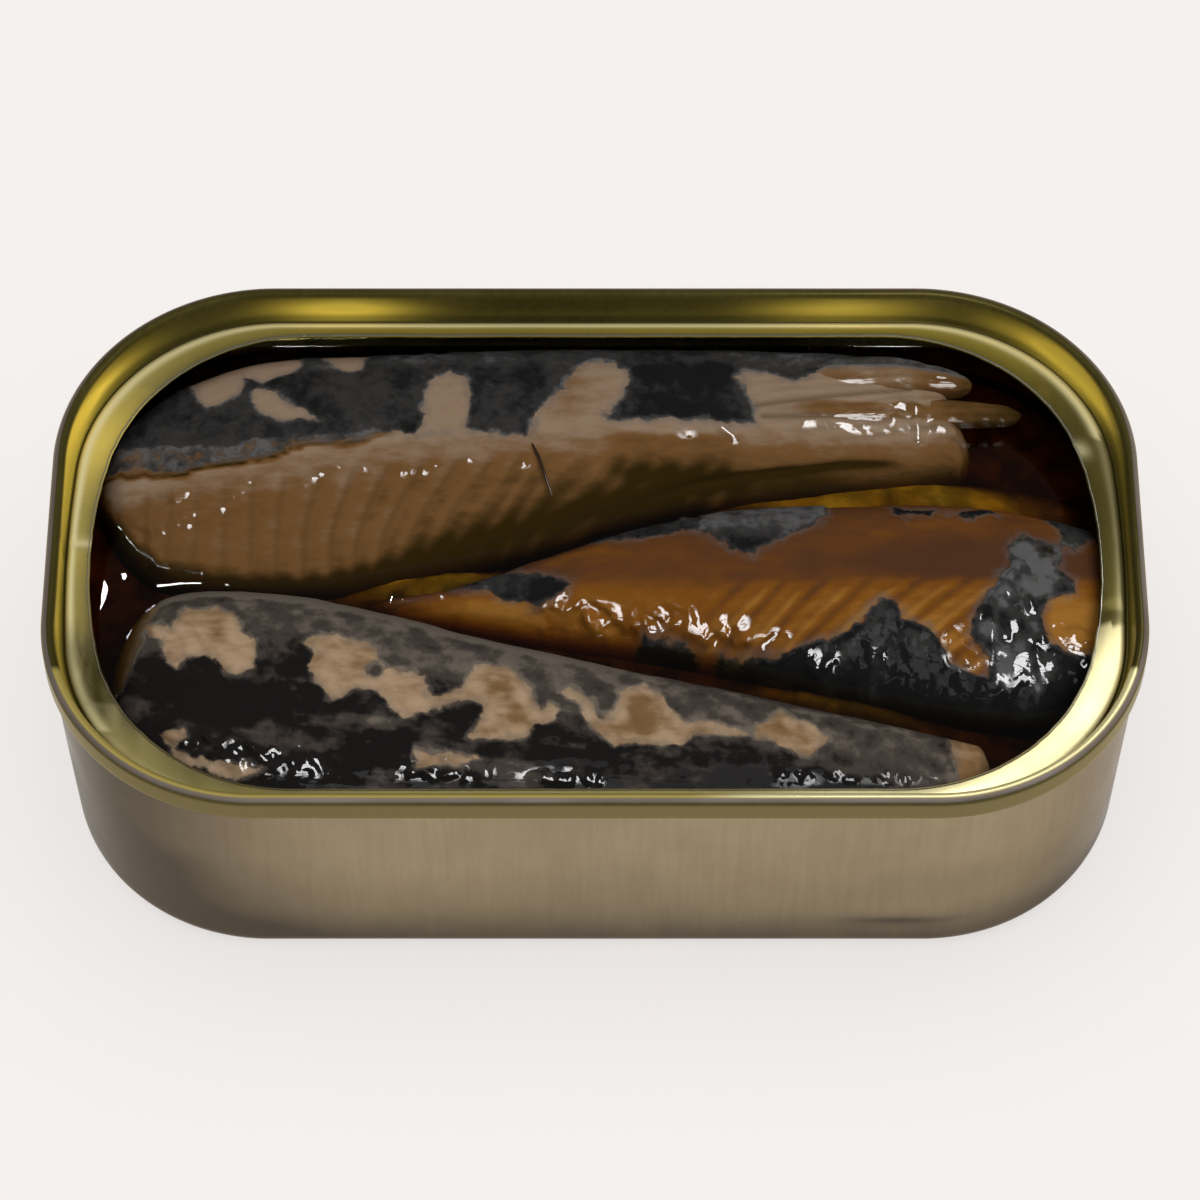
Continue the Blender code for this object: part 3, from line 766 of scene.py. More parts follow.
MIDDLE_DRIPS = [
    [(12.6, -7.9), (12.9, -8.9), (14.6, -9.6), (17.2, -10.1), (19.3, -11)],
    [(22.9, -9.3), (21.2, -10.1), (22.4, -11.5)], [(26.4, -9.3), (27.4, -9.5)],
    [(37.4, -5.2), (37.9, -7.4), (37.8, -10)], [(41.9, -9.8), (42.4, -11.8), (44, -12.8)],
    [(40.8, -2.8), (41.7, -4.3)], [(8.7, 9), (8.9, 7.8), (8.5, 6.4)], [(46, -12.4), (47, -12)],
    [(-5.6, -3.1), (-3.0, -2.2)], [(5.2, -8.2), (7.4, -8.8)], [(-4.5, -2.8), (-3, -3.6), (-1.6, -3.2)],
    [(-1, -4.0), (0.6, -4.9), (2.2, -4.6)], [(0, -3.0), (1.4, -3.8)],
    [(3, -5.2), (4.6, -4.6), (6.4, -5.6), (8, -5.3)], [(5, -4.2), (6.6, -4.8)],
    [(9, -5.8), (10.6, -6.6), (12.4, -6.2)], [(13.5, -6.8), (15, -7.3), (16.6, -6.9)],
    [(7, -3.6), (9, -4.4)], [(-20, -1.6), (-15, -1.2)],
]
MIDDLE_BEADS = [
    (-5, -3.8, 6, -5.2, 0.9, 18), (6, -5.2, 16, -6.9, 0.7, 14), (20, -9.0, 24, -9.8, 0.6, 5),
    (42, -9, 48, -12, 1.2, 8),
]
MIDDLE_RUFFLES = [
    (-1, -4.2, 4, 1.2, -8), (3.5, -5.0, 4.5, 1.3, -12), (11, -6.0, 5.5, 1.0, -17),
    (16.5, -7, 1.8, 0.5, -10), (45.5, -8, 3.5, 1.4, 0), (35, -9, 2.0, 2.0, 0),
]
LATERAL_LINE = [(-20, -1.6), (-3, -1.4), (10, -1.8), (20, -2.0), (37, -1.6), (50, -1.0)]
STRIPE_LENGTH = 4.3


def middle_fields(x, y, _):
    """Skin, tone, flesh, segment, ruffle, wet and lift of the middle piece."""
    near_x, near_y = frayed(x, y, 41, 0.3)
    patches = {key: outline_depth(near_x, near_y, corners) for key, corners in MIDDLE_SKIN.items()}
    patches["specks"] = patches["specks"] - 0.3 + 1.1 * rough_noise(x, y, 1.2, 48)
    skin = np.max(list(patches.values()), axis=0)
    crumple = step(outline_depth(near_x, near_y, CRUMPLED), -0.4, 0.9)
    # The crumpled sheet is silver, the dark sheet has a painted grey sheen at its upper right, and the flap
    # has a pale upper part.
    tone = 0.06 + 0.26 * rough_noise(x, y, 1.7, 42) + crumple * (0.68 + 0.9 * rough_noise(x, y, 1.5, 47))
    sheet_sheen = 0.5 * step(patches["sheet"], 0.2, 0.8) * step(x, 20, 24) * step(y, -10.5, -8.5)
    tone += sheet_sheen * (1 - crumple) * (0.5 + 0.8 * rough_noise(x, y, 1.3, 49))
    tone += 0.5 * step(patches["corner"], 0, 0.5) + 0.3 * step(patches["scrap"], 0, 0.5) * step(-x, 4, 8)
    tone += step(patches["flap"], 0, 0.4) * (0.16 + 0.66 * step(y + 0.25 * np.abs(x - 15), 2.6, 5.2))
    tone += 0.3 * step(patches["strip"], 0, 0.5)
    # The lateral line parts the flesh. Above it fibres run along the fish, below it slanting bars cross it.
    lower = step(smooth_line(LATERAL_LINE, x) - y, -0.6, 1.6)
    phase = (x - 1.15 * (y + 3) + 0.8 * noise(x, y, 5.0, 44)) / STRIPE_LENGTH
    stripes = lower * plateau(x, 6, 16, 38, 42)
    flesh = 0.8 - 0.36 * lower + 0.14 * rough_noise(x * 0.35, y, 2.4, 43)
    flesh += 0.4 * np.clip(rough_noise(x * 0.6, y, 2.0, 50) + 0.1, 0, 1) * step(-x, -1, 8)
    upper_edge = smooth_line(MIDDLE["back"], x) - y
    flesh += 0.45 * fall(upper_edge, 0.6, 2.6) * fall(x, 6, 14) - 0.2 * step(-x, 2, 8) * lower
    flesh += 0.22 * np.cos(2 * np.pi * phase) * stripes + 0.12 * np.cos(4 * np.pi * phase + 1) * stripes
    flesh -= 0.28 * plateau(x, 22, 27, 30, 36) * step(-y, 3.2, 5.6)
    flesh -= 0.35 * step(x, 42.5, 44) * step(-y, 3, 4.5)
    flesh += 0.24 * step(x, 21, 30) * bell(y, 0.2, 2.2) - 0.15 * step(-x, 0, 8)
    fibre = flake_seam((y + 0.1 * x + 0.5 * noise(x, y, 7.0, 45)) / 1.5, 2) * (1 - lower)
    segment = 0.7 * flake_seam(2 * phase, 3) * stripes + 0.3 * fibre
    ruffle = 1.6 * np.clip(blots(x, y, MIDDLE_RUFFLES) + 0.3, 0, 1) + 0.75 * crumple
    drips = route_bumps(x, y, MIDDLE_DRIPS, 0.42)
    beads = bead_bump(x, y, scattered_beads(MIDDLE_BEADS, 52, grow=1.4))
    folds = rough_noise(x, y, 2.4, 46)
    lift = 0.25 * drips + 0.24 * beads + 0.4 * crumple * np.abs(folds) + 0.12 * step(patches["flap"], 0, 0.4)
    lift += 0.22 * step(patches["sheet"], 0, 0.6) * folds * (1 - crumple)
    wet = np.max([step(ruffle, 0.1, 0.4), step(drips, 0.1, 0.5), step(beads, 0.03, 0.2)], axis=0)
    wet = np.maximum(wet, 0.03 * (patches["sheet"] > 0))
    return skin, tone, flesh, segment, ruffle, wet, lift


middle_piece, middle_grid = dress_fish("middle_mackerel", MIDDLE, "fillet_middle", middle_fields, 51)

# %% [markdown]
# The front piece keeps nearly all its skin. Where the skin rubbed off against the lid, pale ragged patches
# show. Its back carries the light and dark bars of a mackerel, which run slanting down from the edge.

# %% The front piece
FRONT_BARE = [
    [(-39.6, -4.2), (-38, -4.5), (-36.2, -4.3), (-34.5, -5.2), (-33.8, -7.4), (-32.4, -8.9), (-32.0, -10.6),
     (-32.6, -12.4), (-33.6, -13), (-35.0, -12.5), (-36.2, -11.1), (-37.4, -10.3), (-38.7, -10.6),
     (-39.6, -11.9), (-40.8, -10.4), (-41.6, -8), (-43.0, -6.0), (-41.6, -5.8), (-40.2, -7.2),
     (-39.8, -5.6)],
    [(-27.9, -9), (-26.8, -8.2), (-24.4, -7.8), (-23.2, -8.7), (-20.8, -9.2), (-20.2, -10.6),
     (-19.5, -12.2), (-17.4, -12.3), (-16.2, -13.4), (-15.5, -15.4), (-14.4, -15.8), (-12.8, -14.2),
     (-11.9, -12.0), (-10.4, -11.2), (-8.4, -11.2), (-7.0, -12.5), (-5.9, -14.2), (-5.3, -16.5),
     (-4.2, -16.0), (-3.3, -16.6), (-4.2, -17.9), (-5.6, -18.3), (-6.4, -19.7), (-8.6, -20), (-12.3, -19.6),
     (-10.9, -17.6), (-10.8, -16), (-12, -15.6), (-14.6, -16.9), (-18.4, -17.8), (-19.3, -16.8),
     (-19.8, -15.4), (-21.4, -14.4), (-23.2, -14.9), (-25, -15.8), (-25.8, -14.4), (-27.3, -11.8),
     (-26.8, -10.3)],
    [(2.1, -14.5), (3.5, -13.8), (4.7, -13.2), (5.9, -14.1), (7.2, -16.4), (8.2, -17.6), (12, -18.1),
     (15.0, -19.2), (11, -19.2), (9.2, -19.6), (7.8, -20.6), (2.2, -20.2), (1.6, -20.8), (0.2, -19.0),
     (-1.0, -17.2), (-1.7, -15.8), (-3.3, -14.9), (-2.4, -14.2), (-0.8, -15.2), (0.9, -17.6), (1.7, -16.6)],
    [(14.8, -18.3), (16.2, -17.4), (17.6, -16.4), (18.6, -17.2), (20.2, -17.6), (21.8, -19.6),
     (20.4, -21.7), (18.6, -21.2), (16.8, -20.2), (15.0, -19.8)],
    [(-17, -20.9), (-15, -20.8), (-13, -21.3), (-11, -22.1), (-13.5, -22.4), (-15.4, -22.0), (-16.8, -22.8)],
    [(-41.5, -18.2), (-39, -17.8), (-38.4, -18.8), (-39.6, -20), (-36, -21.5), (-31, -22.6), (-33, -23.4),
     (-38, -21.9)],
]
ISLANDS = [(-20.6, -12.1, 0.9, 0.8, 0), (-12.4, -17.8, 1.3, 1.2, 20)]
FRONT_CUT_LEFT = [
    (-60, 4), (-42.4, 4), (-42.2, -2), (-42.4, -4.6), (-43.0, -7.5), (-43.8, -10), (-45.2, -12.6),
    (-60, -13),
]
FRONT_CUT_RIGHT = [(33.2, -16.2), (34.0, -14), (42, -14), (42, -26), (34.4, -26), (34.2, -23), (33.5, -20)]
FRONT_DRIPS = [
    [(-40.4, -18.4), (-38.6, -19.4)], [(-36.6, -19.0), (-35.4, -20.2), (-34.6, -19.6)],
    [(-34.8, -21.6), (-33.2, -22.2)], [(-32.2, -20.4), (-31.0, -21.4), (-30.2, -20.6)],
    [(-31, -22.8), (-29.4, -22.6)], [(-27.4, -21.2), (-26.2, -22.6)], [(-30, -25.3), (-19, -25.6)],
    [(-16.4, -22.6), (-15, -23.4), (-13, -23.0)], [(-5, -23.6), (-2.4, -24.0)], [(31, -23), (32.6, -23.6)],
]
FRONT_BEADS = [
    (-39, -19.4, -33, -20.8, 1.1, 26), (-33, -20.8, -27, -22.0, 1.1, 20), (-19, -22.6, -9, -23.2, 0.5, 14),
    (-6.5, -23.6, 1, -23.8, 0.3, 8), (17, -23.4, 20, -23.6, 0.3, 5), (22, -23.4, 32.4, -23.2, 0.5, 16),
]
FRONT_RUFFLES = [
    (-37, -19.8, 4, 1.7, -14), (-32.5, -20.7, 4, 1.6, -10), (-27.5, -21.6, 3, 1.2, -25),
    (-14, -22.8, 4.5, 0.8, 0), (-3.5, -23.4, 3.4, 0.6, 0), (18.6, -23.8, 2.4, 0.7, 0),
    (26, -23.6, 4.0, 0.4, 0), (31.5, -22.9, 2.0, 0.4, 10),
]
BAR_LENGTH, WRINKLE_WIDTH = 4.1, 1.7


def front_fields(x, y, _):
    """Skin, tone, flesh, segment, ruffle, wet and lift of the front piece."""
    near_x, near_y = frayed(x, y, 61, 0.34)
    bare = np.minimum(deepest(near_x, near_y, FRONT_BARE), -blots(near_x, near_y, ISLANDS))
    skin = -np.maximum(bare, deepest(near_x, near_y, (FRONT_CUT_LEFT, FRONT_CUT_RIGHT)))
    # A pale rim, then a pale band with bars across it, and darker skin from there down to the belly.
    inward = smooth_line(FRONT["back"], x) - y
    bars = np.cos(2 * np.pi * (x + 0.75 * y + 1.9 * rough_noise(x, y, 4.5, 66)) / BAR_LENGTH)
    high = plateau(inward, 1.4, 3.0, 6.0, 9.0)
    tone = 0.34 + 0.36 * rough_noise(x * 0.7, y, 1.8, 62) + 0.14 * rough_noise(x * 0.3, y, 1.1, 67)
    tone += (1.0 - 0.55 * step(x, -6, 10)) * fall(inward, 1.8, 3.3) + (0.44 + 0.12 * bars) * high
    tone -= 0.24 * step(inward, 8, 12) + 0.12 * step(-x, 24, 32) + 0.16 * step(x, -4, 8)
    tone += 0.3 * bell(x, -8, 1.6) * step(-y, 20, 21.5) + 0.25 * bell(x, 5, 2.4) * step(-y, 20.5, 22)
    tone += 0.8 * np.clip(rough_noise(x * 0.2, y + 0.08 * x, 1.3, 68), 0, 1) * step(inward, 6, 9)
    flesh = 0.14 + 0.26 * rough_noise(x, y, 2.4, 63) + 0.3 * step(bare, 0.4, 2.6) * step(x, -14, -4)
    flesh += 0.12 * step(x, 14, 17) + 0.9 * step(-x, 41.5, 43.5) * (y > -16) + 0.08 * step(x, 32, 34)
    segment = 0.35 * flake_seam((x + 0.8 * y + noise(x, y, 4.0, 64)) / 2.6)
    ruffle = np.clip(blots(x, y, FRONT_RUFFLES) + 0.25, 0, 1)
    wrinkle = 0.5 + 0.5 * np.cos(2 * np.pi * (y + 0.06 * x + 0.8 * noise(x, y, 8.0, 65)) / WRINKLE_WIDTH)
    drips = route_bumps(x, y, FRONT_DRIPS, 0.36)
    beads = bead_bump(x, y, scattered_beads(FRONT_BEADS, 72))
    lift = 0.05 * wrinkle * step(inward, 11, 14) + 0.26 * drips + 0.2 * beads
    # The right end is nearly dry.
    wet = np.max([step(ruffle, 0.0, 0.3), 0.03 * step(inward, 12, 16), step(drips, 0.1, 0.5)], axis=0)
    wet = np.maximum(wet * (1 - 0.85 * step(x, 8, 14)), step(beads, 0.03, 0.2) * (1 - 0.4 * step(x, 8, 14)))
    return skin, tone, flesh, segment, ruffle, wet, lift


front_piece, front_grid = dress_fish(
    "front_mackerel", FRONT, "fillet_front", front_fields, 71, fine=1.7, grit=WET_GRIT
)

# %% [markdown]
# At the tail end of the back piece the flesh has split into flakes that stand out over the oil, and a fine
# bone has come loose. Each flake is a small trunk of its own, pushed into the large one.

# %% Flakes and a loose bone
FLAKES = {
    "upper_flake": {
        "back": [(15.0, 22.6), (24, 25.0), (30, 25.2), (37.2, 23.4)],
        "front": [(15.0, 21.4), (24, 21.2), (30, 21.4), (37.2, 21.6)],
        "top": [(15.0, 24.0), (24, 24.3), (30, 24.2), (37.2, 23.2)],
        "lean": 0.0,
        "ends": (3.0, 2.0),
        "bottom": 20.8,
    },
    "middle_flake": {
        "back": [(17.0, 20.4), (26, 20.8), (34, 20.8), (42, 20.2)],
        "front": [(17.0, 18.2), (26, 17.4), (34, 17.8), (42, 18.4)],
        "top": [(17.0, 23.9), (26, 23.8), (34, 23.0), (42, 22.2)],
        "lean": 0.0,
        "ends": (3.0, 2.0),
        "bottom": 20.5,
    },
}
BONE_ROUTE = [(-6.2, 14.2, 24.35), (-5.4, 12.4, 24.3), (-4.9, 10.6, 24.0), (-4.2, 8.6, 23.4)]
BONE_RADIUS = 0.13

flakes = []
for seed, (flake_name, shape) in enumerate(FLAKES.items(), 81):
    grid, tips = fish_grid(shape, count=150, end_count=16, columns=56)
    x, y = grid[..., 0], grid[..., 1]
    fibre = flake_seam((y + 0.5 * noise(x, y, 5.0, seed)) / 0.9) * 0.6
    grid = grid + normals(grid) * (0.16 * rough_noise(x * 0.5, y, 2.0, seed + 3) - 0.06 * fibre)[..., None]
    flake = surface(flake_name, grid, first_pole=tips[0], last_pole=tips[1])
    tan = 0.3 + 0.5 * step(x, 29, 37) + 0.2 * rough_noise(x, y, 3.0, seed + 6)
    skin = 2 * (y - 23.3) + 0.8 * noise(x, y, 3.0, 88) if flake_name == "upper_flake" else 0 * x - 2
    shine = 0.7 * step(rough_noise(x * 0.5, y, 1.6, seed + 9), -0.25, 0.1)
    mark_trunk(flake, skin=skin, tone=0 * x + 0.8, flesh=tan, segment=fibre, wet=shine)
    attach(flake, BODY)
    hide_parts("fillet_back")
    flakes.append(flake)


def rod(name, route, radius, sides=12):
    """A tapering round rod along a route of points: circles set square to it, thin at both ends."""
    route = np.array(route, float)
    t = np.linspace(0, 1, 40)
    path = np.stack([np.interp(t, np.linspace(0, 1, len(route)), route[:, k]) for k in range(3)], -1)
    for _ in range(6):
        path[1:-1] = (path[:-2] + 2 * path[1:-1] + path[2:]) / 4
    along = np.gradient(path, axis=0)
    along /= np.linalg.norm(along, axis=1, keepdims=True)
    across = np.cross(along, (0, 0, 1.0))
    across /= np.linalg.norm(across, axis=1, keepdims=True)
    up = np.cross(across, along)
    angle = np.linspace(0, 2 * np.pi, sides, endpoint=False)
    girth = radius * np.sqrt(np.clip(1 - (2 * t - 1) ** 4, 0.02, 1))[:, None, None]
    circles = np.cos(angle)[None, :, None] * across[:, None] + np.sin(angle)[None, :, None] * up[:, None]
    return surface(name, path[:, None] + girth * circles, first_pole=path[0], last_pole=path[-1])


bone = rod("loose_bone", BONE_ROUTE, BONE_RADIUS)
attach(bone, BODY)
print("flakes:", len(flakes), "and a bone", len(bone.data.polygons), "faces")

# %% [markdown]
# ## The oil
#
# The oil fills the cup between the fish. It is one closed body, because light has to enter it and leave it.
# Its side and bottom run inside the thickness of the sheet, so no gap of air shows. Its top is flat but
# climbs a little where it wets the fish and the wall. That rise fades out over about a millimetre, as in any
# wet dish.

# %% The oil body
IN_SHEET = 0.12
WETTING_RISE, WALL_RISE, WETTING_REACH = 0.14, 0.5, 0.8
SHORE_POINTS, SLICES = 900, 60


def shore_distance(x, y, shore):
    """Distance from each point to the nearest point of the shore, worked out in slices to spare memory."""
    near = [
        np.sqrt(((a[:, None] - shore[:, 0]) ** 2 + (b[:, None] - shore[:, 1]) ** 2).min(1))
        for a, b in zip(np.array_split(x.ravel(), SLICES), np.array_split(y.ravel(), SLICES))
    ]
    return np.concatenate(near).reshape(x.shape)


fish_grids = (back_grid, middle_grid, front_grid)
shores = [grid[np.abs(grid[..., 2] - OIL_LEVEL) < 0.1][:, :2] for grid in fish_grids]
shore = np.concatenate([points[:: max(1, len(points) // SHORE_POINTS)] for points in shores])
side = [(SEAM, wall_inset(z) + IN_SHEET, z) for z in np.linspace(OIL_LEVEL, FOOT_RADIUS, 10)[1:-1]]
rim = club(SEAM, wall_inset(OIL_LEVEL) + IN_SHEET)
fraction = np.linspace(0, 1, 200)[1:, None] ** 0.92
top = np.stack([fraction * rim[:, 0], fraction * rim[:, 1], fraction * 0 + OIL_LEVEL + 0 * rim[:, 0]], -1)
to_wall = np.linalg.norm(rim - top[..., :2], axis=-1)
to_fish = shore_distance(top[..., 0], top[..., 1], shore)
top[..., 2] += WETTING_RISE * np.exp(-to_fish / WETTING_REACH) + WALL_RISE * np.exp(-to_wall / WETTING_REACH)
top[..., 2] += 0.02 * rough_noise(top[..., 0], top[..., 1], 9.0, 91)
oil_grid = np.concatenate([top, levels(side + foot_profile(8, IN_SHEET) + base_profile(IN_SHEET))])
oil = surface("amber_oil", oil_grid, first_pole=(0, 0, OIL_LEVEL), last_pole=(0, 0, IN_SHEET), flip=True)
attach(oil, BODY)
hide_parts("oil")
print("oil:", len(oil.data.polygons), "faces, shore points", len(shore))

# %% [markdown]
# Under the oil lie soft scraps of flesh that came off in the tin. They fill the gaps between the pieces to
# within a millimetre or two of the surface, and give the oil there its golden glow. In the corners they lie
# deep, and the oil looks nearly black. One height field does: hills where scraps are piled, rough noise for
# their edges.

# %% Sunken scraps
SCRAP_HEAPS = [
    (27, 11.2, 23, 4.2, -4), (-14, 0.4, 14, 3.6, -2), (24, -12.6, 13, 2.2, -14), (2, 6.2, 7, 1.4, 22),
]
SCRAP_INSET, SCRAP_FLOOR, HEAP_HEIGHT = 1.6, 14.6, 3.9

scrap_rim = club(SEAM, SCRAP_INSET)
spread = np.linspace(0, 1, 150)[1:, None]
scrap_x, scrap_y = spread * scrap_rim[:, 0], spread * scrap_rim[:, 1]
heaped = step(blots(scrap_x, scrap_y, SCRAP_HEAPS), -0.6, 2.2)
scrap_z = SCRAP_FLOOR + HEAP_HEIGHT * heaped
scrap_z += (0.35 + 0.35 * heaped) * rough_noise(scrap_x, scrap_y, 3.4, 92)
scrap_z = np.minimum(scrap_z, OIL_LEVEL - 0.5)
scrap_grid = np.stack([scrap_x, scrap_y, scrap_z], -1)
scraps = surface("sunken_scraps", scrap_grid, first_pole=(0, 0, 15), last_pole=(0, 0, 9), flip=True)
scrap_shade = 0.75 - 0.5 * heaped * step(scrap_y, -4, 9) - 0.1 * heaped * (scrap_x < 8)
scrap_shade += 0.7 * rough_noise(scrap_x, scrap_y, 2.4, 93)
mark_trunk(scraps, skin=0 * scrap_x - 2, flesh=scrap_shade, segment=0 * scrap_x)
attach(scraps, BODY)
print("scraps:", len(scraps.data.polygons), "faces, highest at", round(float(scrap_z.max()), 2), "mm")

# %% [markdown]
# The cup and the ring stand for their own solids.

# %% Which solid each piece stands for
for piece, node, slot in ((cup, "tin_body", "drawn_tinplate"), (ring, "end_ring", "gold_lacquer")):
    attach(piece, BODY)
    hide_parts(node)
    print(piece.name, "stands for", node)

# %% [markdown]
# ## Materials
#
# Every material is built from nodes. `node` adds one node and wires it, so that a material reads as a list
# of steps. The small functions after it each add the one node that their name says.

# %% Node helpers
def node(tree, kind, inputs=None, **settings):
    """Adds a node. `inputs` maps a socket's name or number to a value, or to the output that feeds it."""
    made = tree.nodes.new(kind)
    for key, value in settings.items():
        setattr(made, key, value)
    for key, value in (inputs or {}).items():
        if isinstance(value, bpy.types.NodeSocket):
            tree.links.new(value, made.inputs[key])
        else:
            made.inputs[key].default_value = value
    return made


def colour(values):
    return (*values, 1.0)


def number(tree, operation, a, b):
    return node(tree, "ShaderNodeMath", {0: a, 1: b}, operation=operation).outputs[0]


def plus(tree, a, b):
    return number(tree, "ADD", a, b)


def times(tree, a, b):
    return number(tree, "MULTIPLY", a, b)


def span(tree, value, low, high, to_low=0.0, to_high=1.0):
    """The value brought from low..high to to_low..to_high, smoothly and without running over."""
    inputs = {"Value": value, "From Min": low, "From Max": high, "To Min": to_low, "To Max": to_high}
    return node(tree, "ShaderNodeMapRange", inputs, interpolation_type="SMOOTHSTEP").outputs[0]


def blend(tree, factor, first, second):
    """The first colour where the factor is 0, the second where it is 1."""
    inputs = {0: factor, 6: first, 7: second}
    return node(tree, "ShaderNodeMix", inputs, data_type="RGBA", clamp_factor=True).outputs[2]


def grain(tree, place, scale, detail=4.0, rough=0.55, stretch=(1.0, 1.0, 1.0)):
    """Noise from 0 to 1 at `scale` hills in a millimetre, drawn out along an axis by a small stretch."""
    factors = tuple(scale / MM * value for value in stretch)
    laid = node(tree, "ShaderNodeMapping", {"Vector": place, "Scale": factors}).outputs[0]
    inputs = {"Vector": laid, "Scale": 1.0, "Detail": detail, "Roughness": rough}
    return node(tree, "ShaderNodeTexNoise", inputs).outputs["Fac"]


def object_place(tree):
    return node(tree, "ShaderNodeTexCoord").outputs["Object"]


def attribute(tree, name):
    return node(tree, "ShaderNodeAttribute", attribute_name=name).outputs["Fac"]


def bumped(tree, shader, strength, distance, height):
    """Lets a height bend the shader's normal: distance is in metres."""
    raised = node(tree, "ShaderNodeBump", {"Strength": strength, "Distance": distance, "Height": height})
    tree.links.new(raised.outputs[0], shader.inputs["Normal"])


def new_group(name, inputs, outputs):
    """An empty node group with named sockets, the outputs of its input node, and its output node."""
    group = bpy.data.node_groups.new(name, "ShaderNodeTree")
    for label, kind, value in inputs:
        socket = group.interface.new_socket(label, in_out="INPUT", socket_type=f"NodeSocket{kind}")
        if value is not None:
            socket.default_value = value
    for label, kind in outputs:
        group.interface.new_socket(label, in_out="OUTPUT", socket_type=f"NodeSocket{kind}")
    start = group.nodes.new("NodeGroupInput")
    return group, start.outputs, group.nodes.new("NodeGroupOutput")


def finish_group(group, end, **results):
    for label, value in results.items():
        group.links.new(value, end.inputs[label])


def new_material(name, **settings):
    """A material, its tree and its shader, with the shader's plain values set by name."""
    material = bpy.data.materials.new(name)
    material.use_nodes = True
    shader = material.node_tree.nodes["Principled BSDF"]
    for key, value in settings.items():
        shader.inputs[key.replace("_", " ")].default_value = value
    return material, material.node_tree, shader


# %% [markdown]
# ### Fish
#
# One group paints every piece of fish. The flesh runs from dark to light by the number `flesh`, is streaked
# along the fish by fine grain, and darkens in the grooves between its flakes. Skin covers it where `skin` is
# above zero. The edge of the skin is frayed by fine grain, and just inside the edge the skin is so thin that
# it looks lighter. The shine of the oil is a coat: as strong as the number `wet`, and never quite gone from
# the skin.

# %% The fish group
tree, given, end = new_group(
    "Fish Surface",
    [
        ("Dark Flesh", "Color", (0.05, 0.02, 0.005, 1)), ("Flesh", "Color", (0.2, 0.1, 0.04, 1)),
        ("Pale Flesh", "Color", (0.3, 0.2, 0.12, 1)), ("Dark Skin", "Color", (0.008, 0.008, 0.008, 1)),
        ("Skin", "Color", (0.03, 0.028, 0.026, 1)), ("Silver Skin", "Color", (0.12, 0.11, 0.11, 1)),
    ],
    [("Color", "Color"), ("Roughness", "Float"), ("Coat", "Float"), ("Height", "Float")],
)
fish_group = tree
place = object_place(tree)
skin = attribute(tree, "skin")
skin = plus(tree, skin, times(tree, grain(tree, place, 0.9), 1.1))
skin_mask = span(tree, skin, 0.37, 0.65)
thin_edge = times(tree, skin_mask, span(tree, skin, 0.58, 1.0, 1.0, 0.0))
level = attribute(tree, "flesh")
streak = span(tree, grain(tree, place, 0.9, 5.0, 0.6, (0.4, 1.0, 1.0)), 0.3, 0.7, -0.1, 0.1)
level = plus(tree, level, times(tree, streak, span(tree, level, 0.6, 0.9, 1.0, 0.2)))
flesh = blend(tree, span(tree, level, 0.0, 0.5), given["Pale Flesh"], given["Flesh"])
flesh = blend(tree, span(tree, level, 0.5, 1.0), flesh, given["Dark Flesh"])
flesh = blend(tree, times(tree, attribute(tree, "segment"), 0.45), flesh, given["Dark Flesh"])
tone = attribute(tree, "tone")
speckle = grain(tree, place, 0.8, 5.0, 0.6)
tone = plus(tree, tone, span(tree, speckle, 0.3, 0.7, -0.16, 0.16))
tone = plus(tree, tone, times(tree, thin_edge, 0.45))
cover = blend(tree, span(tree, tone, 0.1, 0.6), given["Dark Skin"], given["Skin"])
cover = blend(tree, span(tree, tone, 0.6, 1.1), cover, given["Silver Skin"])
film_edge = span(tree, skin, -0.5, 0.5, 0.0, 0.5)
film_edge = times(tree, film_edge, span(tree, speckle, 0.35, 0.6, 0.3, 1.0))
flesh = blend(tree, film_edge, flesh, given["Silver Skin"])
surface_colour = blend(tree, skin_mask, flesh, cover)
fine = grain(tree, place, 2.2, 4.0, 0.6, (0.5, 1.0, 1.0))
film = grain(tree, place, 0.45, 3.0, 0.5)
height = plus(tree, times(tree, fine, 0.25), film)
height = plus(tree, height, times(tree, skin_mask, 0.25))
gloss = span(tree, grain(tree, place, 0.7), 0.3, 0.7, 0.38, 0.55)
coat = number(tree, "MAXIMUM", attribute(tree, "wet"), times(tree, skin_mask, 0.015))
finish_group(tree, end, Color=surface_colour, Roughness=gloss, Coat=coat, Height=height)
print("fish group:", len(tree.nodes), "nodes")

# %% [markdown]
# The three pieces differ a little. The back one is pale pink at the top and brown below, the middle one is
# reddish brown, and the front one shows almost only skin.

# %% Fish materials
FISH_BUMP, FISH_BUMP_HEIGHT, OIL_IOR = 0.35, 0.0004, 1.47


def fish_material(name, colours):
    """Flesh in three colours, pale to dark, under skin in three, dark to silver, with a coat of oil."""
    material, tree, shader = new_material(
        name, IOR=1.45, Specular_IOR_Level=0.0, Coat_Roughness=0.05, Coat_IOR=OIL_IOR
    )
    painted = node(tree, "ShaderNodeGroup", node_tree=fish_group)
    labels = ("Pale Flesh", "Flesh", "Dark Flesh", "Dark Skin", "Skin", "Silver Skin")
    for label, values in zip(labels, colours):
        painted.inputs[label].default_value = colour(values)
    for label, socket in (("Color", "Base Color"), ("Roughness", "Roughness"), ("Coat", "Coat Weight")):
        tree.links.new(painted.outputs[label], shader.inputs[socket])
    bumped(tree, shader, FISH_BUMP, FISH_BUMP_HEIGHT, painted.outputs["Height"])
    return material


